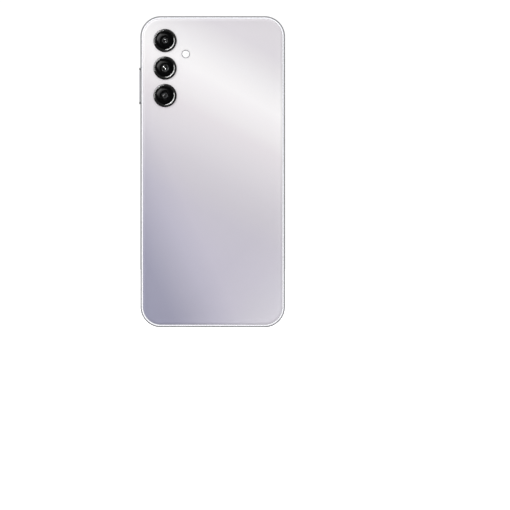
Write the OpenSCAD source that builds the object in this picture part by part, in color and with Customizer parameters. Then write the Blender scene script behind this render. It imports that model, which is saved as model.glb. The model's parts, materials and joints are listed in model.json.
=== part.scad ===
// Smartphone, built as an assembly of separate pieces.
// Millimetres. +Z up, standing on its bottom edge. The back faces -Y and the screen +Y.
// The keys are at -X and the SIM tray at +X.

/* [Body] */
// Width of the side frame
body_w = 78; // [77:0.1:80]
// Height of the side frame
body_h = 167.7; // [166:0.1:172]
// Thickness from the screen glass to the back cover
body_t = 9.1; // [9.1:0.05:9.6]
// Corner radius of the outline
corner_r = 11; // [10.5:0.1:12]

/* [Rear cameras] */
// Diameter of each raised ring
ring_d = 12.5; // [12.2:0.1:13]
// How far the rings stand out of the back
ring_rise = 1; // [0.8:0.05:1.2]
// Distance of the ring centres from the side
ring_side = 13.3; // [13:0.1:14]
// Distance of the upper ring centre from the top
ring_top = 13.2; // [13:0.1:13.6]
// Distance between ring centres
ring_pitch = 14.8; // [14.6:0.1:15]
// Diameter of the flash lens
flash_d = 4.4; // [4:0.1:5]

/* [Keys] */
// Length of the volume key
volume_len = 19.6; // [18:0.1:20]
// Distance from the top to the middle of the volume key
volume_top = 37.6; // [37:0.1:38.5]
// How far the volume key stands out
key_rise = 0.6; // [0.4:0.05:0.8]
// Distance from the top to the middle of the power key
power_top = 64; // [63:0.5:65]

/* [Ports] */
// Diameter of the headphone socket
jack_d = 3.6; // [3.5:0.05:3.7]
// Diameter of the hole for the tray pin
eject_d = 1; // [0.9:0.05:1.2]

/* [Model] */

/* [Hidden] */
$fn = 64;
ARC_STEPS = 6;
EPS = 0.5;

// Half sizes and centre height
half_w = body_w / 2;
mid_z = body_h / 2;

// Levels through the thickness, front to back
glass_t = 0.6;
tape_t = 0.15;
lcd_t = 1.2;
backlight_t = 1.1;
plate_t = 0.6;
cover_t = 0.8;
board_t = 0.8;
y_front = body_t / 2;
y_glass = y_front - glass_t;
y_front_seat = y_glass - tape_t;
y_lcd = y_glass - lcd_t;
y_light = y_lcd - backlight_t;
y_plate_front = y_light - tape_t;
y_plate = y_plate_front - plate_t;
y_board = y_plate - 2.1;
y_board_back = y_board - board_t;
y_sub = y_plate - 2.9;
y_sub_back = y_sub - board_t;
y_back = -body_t / 2;
y_cover = y_back + cover_t;
y_back_seat = y_cover + tape_t;
y_bracket_back = y_cover + 0.25;
y_bracket = y_bracket_back + 0.4;

// Frame wall
wall = 2.4;
cover_inset = 1.55;
glass_inset = 1.2;
inner_x = half_w - wall;
fit_gap = 0.1;
inner_gap = 0.05;

// Rear cameras
cam_x = -half_w + ring_side;
cam_upper_z = body_h - ring_top;
cam_main_z = cam_upper_z - ring_pitch;
cam_lower_z = cam_main_z - ring_pitch;
ring_r = ring_d / 2;
ring_neck_r = ring_r - 0.85;
ring_bore_r = 4.25;
ring_seat_r = 4.78;
glass_r = 4.74;
turret_r = 4.1;
barrel_r = 3.2;
window_gap = 0.05;
flash_r = flash_d / 2;
flash_x = -half_w + 24.5;
flash_z = body_h - 20.5;

// Keys
key_y = -0.3;
key_half_y = 1.3;
volume_z = body_h - volume_top;
power_z = body_h - power_top;
power_len = 13.6;
flange_x = -inner_x + fit_gap;
nub_tip_x = -inner_x + 1.15;
nub_r = 0.8;
nub_arm = 6.2;
pivot_x = -inner_x + 0.85;
pivot_r = 0.35;
dome_x = nub_tip_x + inner_gap;
dome_h = 0.3;
flex_x = dome_x + dome_h;

// SIM tray and ejector
tray_y = y_plate - 1.35;
tray_half_t = 0.4;
tray_z = body_h - 37;
tray_half_z = 6.7;
tray_len = 26.5;
head_t = 1.9;
tray_x = half_w - head_t;
tray_tail_x = tray_x - tray_len;
eject_z = tray_z - tray_half_z - 1.7;
head_low = eject_z - 2;
head_high = tray_z + tray_half_z + 1.4;
head_half_y = 1.2;
reader_x = tray_tail_x - 1;
lever_x = tray_tail_x - 3;
lever_z = eject_z + 6.2;
lever_half_x = 0.8;
lever_reach = 7.5;
lever_pin_r = 0.5;

// Battery and boards
battery_low = 25.5;
battery_high = body_h - 51.2;
battery_x = 1.4;
battery_half_x = half_w - 5;
board_low = body_h - 49.5;
board_left = -half_w + 20;
sub_high = 22.6;
sub_left = -7.8;
screw_r = 0.7;
screw_hole_r = 0.75;
head_r = 1.3;
boss_r = 1.5;
motor_x = 11;
motor_z = 14.5;
motor_r = 4;
jack_x = half_w - 15.5;
jack_y = y_plate - 1.8;
usb_y = y_plate - 1.3;
usb_half_w = 4.47;
usb_half_t = 1.6;
speaker_x = -half_w + 18.4;
speaker_z = 13;
speaker_hole_r = 0.6;
speaker_pitch = 2.6;
mic_x = 12.5;
front_cam_z = body_h - 7.8;
slit_z = body_h - 3.6;
earpiece_x = 10.5;

board_screws = [
    [board_left + 2, body_h - 6.2],
    [half_w - 5.2, body_h - 7.7],
    [half_w - 5.2, tray_z + 9.8],
    [tray_tail_x - 3.6, tray_z + 10.3]
];
free_screws = [
    [-half_w + 5.5, cam_main_z + 7.3],
    [-half_w + 5.5, cam_upper_z + 2.4]
];
sub_screws = [
    [-6.15, 5.2],
    [-5.5, 19.8],
    [17.3, 5.2],
    [half_w - 5.5, 19.8]
];

// ---------- helpers ----------

// Corner points of a rounded rectangle about the origin
function arc_points(cx, cy, r, from) =
    [for (i = [0:ARC_STEPS]) [cx + r * cos(from + 90 * i / ARC_STEPS),
                              cy + r * sin(from + 90 * i / ARC_STEPS)]];
function rounded(w, h, r) = concat(
    arc_points(w / 2 - r, h / 2 - r, r, 0),
    arc_points(-w / 2 + r, h / 2 - r, r, 90),
    arc_points(-w / 2 + r, -h / 2 + r, r, 180),
    arc_points(w / 2 - r, -h / 2 + r, r, 270));

// Extrude an X-Z outline from y0 to y1
module slab(y0, y1) {
    translate([0, y1, 0])
        rotate([90, 0, 0])
            linear_extrude(height = y1 - y0)
                children();
}

// Box between two corners
module box(lo, hi) {
    translate(lo)
        cube(hi - lo);
}

// Round bar along Y
module rod_y(x, z, r, y0, y1) {
    translate([x, y1, z])
        rotate([90, 0, 0])
            cylinder(r = r, h = y1 - y0);
}

// Round bar along X
module rod_x(y, z, r, x0, x1) {
    translate([x0, y, z])
        rotate([0, 90, 0])
            cylinder(r = r, h = x1 - x0);
}

// Solid of revolution about Y, drawn as [radius, y]
module turned_y(x, z, profile) {
    translate([x, 0, z])
        rotate([90, 0, 0])
            rotate_extrude()
                polygon([for (p = profile) [p[0], -p[1]]]);
}

// Body outline moved inwards by d
module outline(d) {
    translate([0, mid_z])
        polygon(rounded(body_w - 2 * d, body_h - 2 * d, corner_r - d));
}

// Sweep a profile, drawn as [distance in from the outline, y], round the body
module swept(profile) {
    run_x = half_w - corner_r;
    run_z = mid_z - corner_r;
    for (mx = [0, 1], mz = [0, 1])
        translate([0, 0, mid_z])
            mirror([mx, 0, 0])
                mirror([0, 0, mz])
                    translate([run_x, 0, run_z])
                        rotate([90, 0, 0])
                            rotate_extrude(angle = 90)
                                polygon([for (p = profile) [corner_r - p[0], -p[1]]]);
    for (side = [-1, 1])
        translate([0, 0, mid_z - run_z])
            linear_extrude(height = 2 * run_z)
                polygon([for (p = profile) [side * (half_w - p[0]), p[1]]]);
    for (side = [-1, 1])
        translate([-run_x, 0, mid_z])
            rotate([90, 0, 90])
                linear_extrude(height = 2 * run_x)
                    polygon([for (p = profile) [p[1], side * (mid_z - p[0])]]);
}

// Filled plate with a swept edge
module swept_plate(profile, y0, y1) {
    swept(profile);
    box([corner_r - half_w, y0, corner_r], [half_w - corner_r, y1, body_h - corner_r]);
}

// ---------- frame and covers ----------

module side_wall() {
    flank_back = y_back + 1.65;
    flank_front = y_front - 1.05;
    lip = glass_inset - fit_gap;
    seam = cover_inset - inner_gap;
    swept([
        [0, flank_back], [0, flank_front], [0.2, y_front - 0.65], [0.65, y_front - 0.35],
        [lip, y_front - 0.3], [lip, y_front_seat], [wall, y_front_seat],
        [wall, y_back_seat], [seam, y_back_seat], [seam, y_back + 0.4],
        [0.95, y_back + 0.7], [0.4, y_back + 1.05], [0.1, y_back + 1.35]
    ]);
}

module usb_outline(grow) {
    half_t = usb_half_t + grow;
    translate([0, usb_y])
        polygon(rounded(2 * (usb_half_w + grow), 2 * half_t, half_t - 0.01));
}

module mid_frame() {
    reach = wall + 2 * EPS;
    color([0.78, 0.78, 0.81])
    difference() {
        side_wall();
        // volume key
        box([-half_w - EPS, key_y - key_half_y - fit_gap, volume_z - volume_len / 2 - 0.15],
            [-half_w + reach, key_y + key_half_y + fit_gap, volume_z + volume_len / 2 + 0.15]);
        // power key, in a shallow recess
        box([-half_w - EPS, key_y - key_half_y - fit_gap, power_z - power_len / 2 - fit_gap],
            [-half_w + reach, key_y + key_half_y + fit_gap, power_z + power_len / 2 + fit_gap]);
        box([-half_w - EPS, key_y - 1.7, power_z - power_len / 2 - 0.6],
            [-half_w + 0.25, key_y + 1.7, power_z + power_len / 2 + 0.6]);
        // tray head, tray neck and ejector pin
        box([half_w - head_t - fit_gap, tray_y - head_half_y - fit_gap, head_low - fit_gap],
            [half_w + EPS, tray_y + head_half_y + fit_gap, head_high + fit_gap]);
        box([half_w - reach, tray_y - 0.9, tray_z - tray_half_z - 0.45],
            [half_w - EPS, tray_y + 0.9, tray_z + tray_half_z + 0.45]);
        rod_x(tray_y, eject_z, eject_d / 2 + 0.2, half_w - reach, half_w - EPS);
        // bottom ports
        translate([0, 0, -EPS])
            linear_extrude(height = reach)
                usb_outline(fit_gap);
        translate([jack_x, jack_y, -EPS])
            cylinder(r = jack_d / 2 + inner_gap, h = reach);
        for (i = [-2.5:2.5])
            translate([speaker_x + i * speaker_pitch, usb_y, -EPS])
                cylinder(r = speaker_hole_r, h = reach);
        translate([mic_x, usb_y, -EPS])
            cylinder(r = 0.5, h = reach);
        // top microphone
        translate([-earpiece_x, usb_y, body_h - reach + EPS])
            cylinder(r = 0.5, h = reach);
    }
}

module mid_plate() {
    boss_tip = y_plate_front - 0.15;
    color([0.62, 0.63, 0.66])
    difference() {
        union() {
            slab(y_plate, y_plate_front)
                outline(wall + inner_gap);
            for (s = board_screws)
                rod_y(s[0], s[1], boss_r, y_board, y_plate + fit_gap);
            for (s = free_screws)
                rod_y(s[0], s[1], boss_r, y_bracket, y_plate + fit_gap);
            for (s = sub_screws)
                rod_y(s[0], s[1], boss_r, y_sub, y_plate + fit_gap);
        }
        for (s = concat(board_screws, free_screws, sub_screws))
            rod_y(s[0], s[1], screw_hole_r, y_back, boss_tip);
        // room for the keys and their flex
        box([-half_w, y_plate - EPS, power_z - 9], [flex_x + 0.6, y_front, volume_z + 11]);
        // room for the USB socket and the headphone socket
        box([-5, y_plate - EPS, 0], [5, y_front, 8.6]);
        box([jack_x - 3.5, y_plate - EPS, 0], [jack_x + 3.5, y_front, 17]);
        // front camera, earpiece channel and screen flex
        rod_y(0, front_cam_z, 3.3, y_plate - EPS, y_front);
        box([-6, y_plate - EPS, slit_z - 0.4], [12, y_front, slit_z + 0.9]);
        box([0.8, y_plate - EPS, 23.1], [9.2, y_front, 23.9]);
    }
}

module rear_cover() {
    in = cover_inset;
    color([0.86, 0.85, 0.88])
    difference() {
        swept_plate([
            [in, y_cover], [in, y_back + 0.43], [in + 0.35, y_back + 0.25],
            [in + 0.9, y_back + 0.12], [in + 1.8, y_back + 0.03], [in + 3, y_back],
            [corner_r, y_back], [corner_r, y_cover]
        ], y_back, y_cover);
        for (z = [cam_upper_z, cam_main_z, cam_lower_z])
            rod_y(cam_x, z, ring_neck_r + inner_gap, y_back - EPS, y_cover + EPS);
        rod_y(flash_x, flash_z, flash_r + inner_gap, y_back - EPS, y_cover + EPS);
    }
}

module rear_cover_adhesive() {
    color([0.12, 0.12, 0.13])
    slab(y_cover, y_back_seat)
        difference() {
            outline(cover_inset + inner_gap);
            outline(wall);
        }
}

// ---------- rear camera windows and flash ----------

module camera_ring(z) {
    top = y_back - ring_rise;
    color([0.04, 0.04, 0.05])
    turned_y(cam_x, z, [
        [ring_bore_r, y_cover], [ring_bore_r, y_back - 0.1], [ring_seat_r, y_back - 0.1],
        [ring_seat_r, top + 0.35], [ring_r - 0.8, top], [ring_r - 0.4, top],
        [ring_r, top + 0.45], [ring_r, y_back], [ring_neck_r, y_back], [ring_neck_r, y_cover]
    ]);
}

module upper_camera_ring() {
    camera_ring(cam_upper_z);
}

module main_camera_ring() {
    camera_ring(cam_main_z);
}

module lower_camera_ring() {
    camera_ring(cam_lower_z);
}

module camera_glass(z) {
    color([0.02, 0.02, 0.03, 0.6])
    rod_y(cam_x, z, glass_r, y_back - ring_rise + 0.4, y_back - 0.12);
}

module upper_camera_glass() {
    camera_glass(cam_upper_z);
}

module main_camera_glass() {
    camera_glass(cam_main_z);
}

module lower_camera_glass() {
    camera_glass(cam_lower_z);
}

module flash_lens() {
    color([0.97, 0.97, 0.95, 0.7])
    turned_y(flash_x, flash_z, [
        [0, y_back - 0.05], [flash_r * 0.6, y_back - 0.04], [flash_r, y_back + 0.05],
        [flash_r, y_cover], [flash_r + 0.5, y_cover], [flash_r + 0.5, y_cover + 0.3],
        [0, y_cover + 0.3]
    ]);
}

module flash_led() {
    color([0.95, 0.9, 0.55])
    box([flash_x - 1, y_board_back - 0.7, flash_z - 1], [flash_x + 1, y_board_back, flash_z + 1]);
}

// ---------- screen ----------

module cover_glass() {
    in = glass_inset;
    color([0.03, 0.03, 0.04])
    difference() {
        swept_plate([
            [in, y_glass], [in, y_front - 0.3], [in + 0.2, y_front - 0.13],
            [in + 0.55, y_front - 0.03], [in + 1, y_front], [corner_r, y_front],
            [corner_r, y_glass]
        ], y_glass, y_front);
        box([-6.6, y_glass - EPS, slit_z - 0.4], [6.6, y_front + EPS, slit_z + 0.4]);
    }
}

module earpiece_mesh() {
    color([0.15, 0.15, 0.16])
    box([-6.55, y_glass, slit_z - 0.35], [6.55, y_front - 0.2, slit_z + 0.35]);
}

module lcd_panel() {
    color([0.06, 0.07, 0.1])
    difference() {
        slab(y_lcd, y_glass)
            translate([0, mid_z - 0.2])
                polygon(rounded(body_w - 7.2, body_h - 8.4, corner_r - 4));
        rod_y(0, front_cam_z, 2.9, y_lcd - EPS, y_glass + EPS);
        box([-2.9, y_lcd - EPS, front_cam_z], [2.9, y_glass + EPS, body_h]);
    }
}

module backlight_unit() {
    color([0.8, 0.81, 0.82])
    difference() {
        slab(y_light, y_lcd)
            translate([0, mid_z + 2])
                polygon(rounded(body_w - 7.6, body_h - 13.2, corner_r - 5));
        rod_y(0, front_cam_z, 3.3, y_light - EPS, y_lcd + EPS);
        box([-3.3, y_light - EPS, front_cam_z], [3.3, y_lcd + EPS, body_h]);
        box([jack_x - 3.5, y_light - EPS, 0], [jack_x + 3.5, y_light + 0.3, 17]);
    }
}

module display_adhesive() {
    color([0.1, 0.1, 0.1])
    slab(y_front_seat, y_glass)
        difference() {
            outline(glass_inset + inner_gap);
            outline(wall);
        }
}

module display_flex() {
    left = 1;
    right = 9;
    turn_z = 23.4;
    strip_t = 0.1;
    color([0.78, 0.5, 0.16])
    union() {
        box([left, y_light - strip_t - 0.02, 8.9], [right, y_light - 0.02, turn_z + strip_t]);
        box([left, y_sub + 0.5, turn_z], [right, y_light - 0.02, turn_z + strip_t]);
        box([left, y_sub + 0.5, 20], [right, y_sub + 0.5 + strip_t, turn_z + strip_t]);
        box([left + 0.5, y_sub, 19.5], [right - 0.5, y_sub + 0.5 + strip_t, 22]);
    }
}

// ---------- keys ----------

module volume_key() {
    outer = -half_w - key_rise;
    color([0.82, 0.82, 0.85])
    union() {
        // bar seen outside, with a chamfered top
        translate([0, key_y, volume_z - volume_len / 2])
            linear_extrude(height = volume_len)
                polygon([
                    [outer + 0.35, -key_half_y], [outer, -key_half_y + 0.45],
                    [outer, key_half_y - 0.45], [outer + 0.35, key_half_y],
                    [flange_x + fit_gap, key_half_y], [flange_x + fit_gap, -key_half_y]
                ]);
        // short flange that keeps the key in
        box([flange_x + 0.05, key_y - 1.75, volume_z - 4], [flange_x + 0.5, key_y + 1.75, volume_z + 4]);
        for (side = [-1, 1])
            rod_x(key_y, volume_z + side * nub_arm, nub_r, flange_x, nub_tip_x);
        // fulcrum
        rod_y(pivot_x, volume_z, pivot_r, key_y - 1.2, key_y + 1.2);
    }
}

module power_key() {
    outer = -half_w + 0.25;
    color([0.82, 0.82, 0.85])
    difference() {
        union() {
            box([outer, key_y - key_half_y, power_z - power_len / 2],
                [flange_x + fit_gap, key_y + key_half_y, power_z + power_len / 2]);
            box([flange_x, key_y - 1.75, power_z - power_len / 2 - 0.8],
                [flange_x + 0.5, key_y + 1.75, power_z + power_len / 2 + 0.8]);
            rod_x(key_y, power_z, nub_r, flange_x, nub_tip_x);
        }
        box([outer - EPS, key_y - 1.05, power_z - power_len / 2 + 0.4],
            [outer + 0.4, key_y + 1.05, power_z + power_len / 2 - 0.4]);
    }
}

module fingerprint_sensor() {
    outer = -half_w + 0.25;
    color([0.72, 0.72, 0.74])
    box([outer + 0.03, key_y - 1, power_z - power_len / 2 + 0.45],
        [outer + 0.4, key_y + 1, power_z + power_len / 2 - 0.45]);
}

module key_flex() {
    strip_low = power_z - 8;
    strip_high = volume_z + 9.5;
    tail_z = board_low + 0.2;
    color([0.78, 0.5, 0.16])
    union() {
        box([flex_x, key_y - 1.5, strip_low], [flex_x + 0.35, key_y + 1.5, strip_high]);
        // rest for the fulcrum of the volume key
        box([pivot_x + pivot_r + inner_gap, key_y - 1, volume_z - 1.2],
            [flex_x + 0.1, key_y + 1, volume_z + 1.2]);
        box([flex_x, y_board_back - 0.15, tail_z], [board_left + 4, y_board_back, tail_z + 2.4]);
        box([board_left + 1, y_board_back - 0.8, tail_z], [board_left + 4, y_board_back, tail_z + 2.4]);
    }
}

module snap_dome(z) {
    translate([flex_x, key_y, z])
        rotate([0, -90, 0])
            rotate_extrude()
                polygon([[0, 0], [1.3, 0], [0.9, dome_h * 0.7], [0.4, dome_h], [0, dome_h]]);
}

module volume_domes() {
    color([0.85, 0.85, 0.86])
    for (side = [-1, 1])
        snap_dome(volume_z + side * nub_arm);
}

module power_dome() {
    color([0.85, 0.85, 0.86])
    snap_dome(power_z);
}

// ---------- SIM tray and ejector ----------

module sim_tray() {
    head_w = head_high - head_low;
    card_edge = 0.6;
    sim_x = tray_tail_x + 0.8;
    memory_x = sim_x + 8.9 + 0.8;
    color([0.78, 0.78, 0.81])
    difference() {
        union() {
            translate([tray_x, tray_y, (head_low + head_high) / 2])
                rotate([90, 0, 90])
                    linear_extrude(height = head_t)
                        polygon(rounded(2 * head_half_y, head_w, 1.1));
            box([tray_tail_x, tray_y - tray_half_t, tray_z - tray_half_z],
                [tray_x + EPS, tray_y + tray_half_t, tray_z + tray_half_z]);
        }
        rod_x(tray_y, eject_z, eject_d / 2, tray_x - EPS, half_w + EPS);
        box([sim_x, tray_y - 2 * tray_half_t, tray_z - tray_half_z + 0.5],
            [sim_x + 8.9, tray_y + 2 * tray_half_t, tray_z + tray_half_z - 0.5]);
        box([memory_x, tray_y - 2 * tray_half_t, tray_z - tray_half_z + card_edge],
            [memory_x + 15.1, tray_y + 2 * tray_half_t, tray_z + tray_half_z - 1.8]);
    }
}

module sim_tray_seal() {
    color([0.1, 0.1, 0.1])
    difference() {
        box([tray_x - 0.65, tray_y - 0.75, tray_z - tray_half_z - 0.3],
            [tray_x - 0.05, tray_y + 0.75, tray_z + tray_half_z + 0.3]);
        box([tray_x - 1, tray_y - tray_half_t - 0.01, tray_z - tray_half_z - 0.01],
            [tray_x, tray_y + tray_half_t + 0.01, tray_z + tray_half_z + 0.01]);
    }
}

module sim_reader() {
    leaf = 0.15;
    back = inner_x - 0.7;
    low = eject_z - 1.3;
    high = tray_z + tray_half_z + 0.8;
    roof = tray_y + tray_half_t + 0.2;
    color([0.74, 0.75, 0.77])
    difference() {
        box([reader_x - 4.2, y_board, low], [back, roof + leaf, high]);
        // channel for the tray
        box([tray_tail_x - 0.35, y_board + leaf, tray_z - tray_half_z - 0.3],
            [back + EPS, roof, high - 0.4]);
        // channel for the ejector rod
        box([lever_x - 0.5, y_board + leaf, eject_z - 0.8], [back + EPS, roof, eject_z + 0.8]);
        // room for the lever to swing
        box([lever_x - 2.3, y_board + leaf, low + 0.4], [tray_tail_x, roof, high - 0.4]);
        rod_y(lever_x, lever_z, lever_pin_r + 0.02, y_board - EPS, roof + 1);
    }
}

module eject_plunger() {
    color([0.7, 0.7, 0.72])
    box([lever_x + lever_half_x + fit_gap, tray_y - 0.4, eject_z - 0.5],
        [inner_x - 0.3, tray_y + 0.4, eject_z + 0.5]);
}

module eject_lever() {
    low = lever_z - 7;
    color([0.66, 0.66, 0.68])
    difference() {
        union() {
            box([lever_x - lever_half_x, tray_y - 0.25, low],
                [lever_x + lever_half_x, tray_y + 0.25, lever_z + lever_reach]);
            rod_y(lever_x, lever_z, 1.3, tray_y - 0.25, tray_y + 0.25);
        }
        rod_y(lever_x, lever_z, lever_pin_r + inner_gap, tray_y - 1, tray_y + 1);
    }
}

module eject_lever_pin() {
    roof = tray_y + tray_half_t + 0.2;
    color([0.8, 0.8, 0.8])
    rod_y(lever_x, lever_z, lever_pin_r, y_board, roof + 0.15);
}

// ---------- main board ----------

module inner_outline() {
    outline(wall + 0.3);
}

module main_board() {
    color([0.05, 0.22, 0.14])
    difference() {
        slab(y_board_back, y_board)
            intersection() {
                inner_outline();
                translate([board_left, board_low])
                    square([body_w, body_h]);
            }
        for (s = board_screws)
            rod_y(s[0], s[1], screw_hole_r, y_board_back - EPS, y_board + EPS);
    }
}

module processor() {
    color([0.1, 0.1, 0.11])
    box([-13, y_board_back - 0.8, board_low + 6], [-1, y_board_back, board_low + 18]);
}

module can(x0, x1, z0, z1) {
    leaf = 0.15;
    height = 1;
    color([0.76, 0.77, 0.79])
    difference() {
        box([x0, y_board_back - height, z0], [x1, y_board_back, z1]);
        box([x0 + leaf, y_board_back - height + leaf, z0 + leaf],
            [x1 - leaf, y_board_back + EPS, z1 - leaf]);
    }
}

module power_shield() {
    can(-17, 5, board_low + 3.5, board_low + 23);
}

module radio_shield() {
    can(tray_tail_x - 1.2, half_w - 7.5, tray_z + 12.2, body_h - 4.7);
}

module board_connectors() {
    color([0.85, 0.82, 0.7])
    union() {
        box([8, y_board_back - 0.6, board_low + 2], [18, y_board_back, board_low + 4.6]);
        box([-11, y_board_back - 0.6, board_low + 26], [-4, y_board_back, board_low + 28.4]);
    }
}

module upper_bracket() {
    window = 5.7;
    color([0.13, 0.13, 0.14])
    difference() {
        union() {
            slab(y_bracket_back, y_bracket)
                intersection() {
                    outline(wall + 0.6);
                    translate([-half_w, board_low + 6.3])
                        square([body_w, body_h]);
                }
            for (s = board_screws)
                rod_y(s[0], s[1], boss_r, y_bracket - inner_gap, y_board_back);
        }
        for (s = concat(board_screws, free_screws)) {
            rod_y(s[0], s[1], screw_hole_r, y_back, y_board);
            rod_y(s[0], s[1], head_r + inner_gap, y_back, y_bracket_back + 0.2);
        }
        for (z = [cam_upper_z, cam_main_z, cam_lower_z])
            box([cam_x - window, y_back, z - window], [cam_x + window, y_board, z + window]);
        rod_y(flash_x, flash_z, flash_r + 0.8, y_back, y_board);
    }
}

// ---------- cameras ----------

// Fixed camera with a short turret behind its window
module camera_module(z, half) {
    top = y_back - window_gap;
    front = y_board + 0.3;
    turret = 3.2;
    lens = 1.7;
    color([0.09, 0.09, 0.1])
    difference() {
        union() {
            box([cam_x - half, y_cover + 0.1, z - half], [cam_x + half, front, z + half]);
            rod_y(cam_x, z, turret, top, y_cover + EPS);
            // flat tail that plugs into the main board
            box([cam_x, front - 0.2, z - 1.5], [board_left + 1.5, front, z + 1.5]);
        }
        rod_y(cam_x, z, lens, top - EPS, top + 0.4);
    }
}

module main_camera_housing() {
    half = 5.25;
    top = y_back - window_gap;
    color([0.09, 0.09, 0.1])
    difference() {
        union() {
            box([cam_x - half, y_cover + 0.1, cam_main_z - half],
                [cam_x + half, y_plate - 0.1, cam_main_z + half]);
            rod_y(cam_x, cam_main_z, turret_r, top, y_cover + EPS);
            box([cam_x, y_board + 0.1, cam_main_z - 2.5],
                [board_left + 3, y_board + 0.3, cam_main_z + 2.5]);
        }
        rod_y(cam_x, cam_main_z, barrel_r + 0.08, top - EPS, y_plate - 1.6);
    }
}

module main_camera_barrel() {
    lens_top = y_back + 0.35;
    color([0.05, 0.05, 0.06])
    turned_y(cam_x, cam_main_z, [
        [0, lens_top + 0.5], [1, lens_top + 0.42], [1.9, lens_top + 0.2], [2.3, lens_top],
        [barrel_r, lens_top], [barrel_r, y_plate - 2.1], [0, y_plate - 2.1]
    ]);
}

module depth_camera() {
    camera_module(cam_upper_z, 3.5);
}

module macro_camera() {
    camera_module(cam_lower_z, 3.25);
}

module front_camera() {
    color([0.07, 0.07, 0.08])
    union() {
        box([-3.2, y_board + 0.1, front_cam_z - 3.2], [3.2, y_plate - 0.1, front_cam_z + 3]);
        turned_y(0, front_cam_z, [
            [0, y_plate - 0.2], [2.6, y_plate - 0.2], [2.6, y_lcd], [2.2, y_glass - 0.1],
            [1.2, y_glass - 0.1], [0, y_glass - 0.3]
        ]);
    }
}

// ---------- sound ----------

module earpiece_housing() {
    color([0.2, 0.2, 0.21])
    difference() {
        box([earpiece_x - 6, y_board + 0.1, slit_z - 5.6],
            [earpiece_x + 6, y_plate - 0.05, slit_z + 0.8]);
        box([earpiece_x - 5.4, y_board + 0.5, slit_z - 5], [earpiece_x + 5.4, y_plate - 0.45, slit_z + 0.2]);
        // sound outlet into the channel above
        box([earpiece_x - 5.4, y_plate - 1, slit_z - 0.5], [earpiece_x + 1, y_plate + EPS, slit_z + 0.2]);
    }
}

module earpiece_diaphragm() {
    color([0.6, 0.6, 0.62])
    box([earpiece_x - 5.1, y_board + 0.95, slit_z - 4.7], [earpiece_x + 5.1, y_board + 1.15, slit_z - 0.1]);
}

module microphone(x, z, y) {
    color([0.8, 0.78, 0.7])
    box([x - 1.5, y, z - 1.8], [x + 1.5, y + 1, z + 1.8]);
}

module top_microphone() {
    microphone(-earpiece_x, body_h - 5.6, y_board);
}

module bottom_microphone() {
    microphone(mic_x, 4.7, y_sub);
}

module speaker_outline(d) {
    intersection() {
        outline(wall + 0.2 + d);
        translate([-half_w, wall + 0.2 + d])
            square([half_w - 8.6 - d, 20 - 2 * d]);
    }
}

module loudspeaker_box() {
    shell = 0.7;
    shelf_back = y_cover + 1.4;
    color([0.12, 0.12, 0.13])
    difference() {
        slab(y_bracket_back, y_plate - 0.1)
            speaker_outline(0);
        // rear air volume and front sound chamber, with a shelf between them
        slab(y_bracket_back + shell, shelf_back)
            speaker_outline(shell);
        slab(shelf_back + 0.9, y_plate - 0.1 - shell)
            speaker_outline(shell);
        slab(shelf_back - EPS, shelf_back + 1.4)
            translate([speaker_x, speaker_z])
                polygon(rounded(15.4, 10.4, 3));
        // way out to the holes in the frame
        box([speaker_x - 7.4, usb_y - 0.8, 0], [speaker_x + 7.4, usb_y + 0.8, 5]);
    }
}

module loudspeaker_diaphragm() {
    color([0.45, 0.45, 0.47])
    slab(y_cover + 1.65, y_cover + 1.95)
        translate([speaker_x, speaker_z])
            polygon(rounded(15, 10, 2.8));
}

module speaker_mesh() {
    color([0.2, 0.2, 0.2])
    box([speaker_x - 7.6, usb_y - 0.9, wall + 0.02], [speaker_x + 7.6, usb_y + 0.9, wall + 0.16]);
}

module headphone_jack() {
    length = 14;
    low = wall + 0.1;
    color([0.08, 0.08, 0.09])
    difference() {
        box([jack_x - 3.2, jack_y - 2.45, low], [jack_x + 3.2, jack_y + 2.45, low + length]);
        translate([jack_x, jack_y, low - EPS])
            cylinder(r = jack_d / 2, h = length - 0.5 + EPS);
    }
}

// ---------- lower end ----------

module usb_shell() {
    low = 0.4;
    leaf = 0.3;
    color([0.75, 0.76, 0.78])
    translate([0, 0, low])
        difference() {
            linear_extrude(height = 7.4)
                usb_outline(0);
            translate([0, 0, -EPS])
                linear_extrude(height = 7.1 + EPS)
                    usb_outline(-leaf);
        }
}

module usb_tongue() {
    color([0.12, 0.12, 0.13])
    box([-3.35, usb_y - 0.35, 1.4], [3.35, usb_y + 0.35, 7.5]);
}

module sub_board() {
    color([0.05, 0.22, 0.14])
    difference() {
        slab(y_sub_back, y_sub)
            difference() {
                intersection() {
                    inner_outline();
                    translate([sub_left, 0])
                        square([body_w, sub_high]);
                }
                translate([jack_x - 3.3, 0])
                    square([6.6, 16.7]);
            }
        for (s = sub_screws)
            rod_y(s[0], s[1], screw_hole_r, y_sub_back - EPS, y_sub + EPS);
    }
}

module lower_bracket() {
    color([0.13, 0.13, 0.14])
    difference() {
        union() {
            slab(y_bracket_back, y_bracket)
                intersection() {
                    outline(wall + 0.6);
                    translate([sub_left, 0])
                        square([body_w, sub_high]);
                }
            for (s = sub_screws)
                rod_y(s[0], s[1], boss_r, y_bracket - inner_gap, y_sub_back);
        }
        for (s = sub_screws) {
            rod_y(s[0], s[1], screw_hole_r, y_back, y_sub);
            rod_y(s[0], s[1], head_r + inner_gap, y_back, y_bracket_back + 0.2);
        }
        box([jack_x - 3.5, y_back, 0], [jack_x + 3.5, y_sub, 17]);
        box([7.4, y_back, 17.6], [18.4, y_sub, 30]);
    }
}

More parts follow.
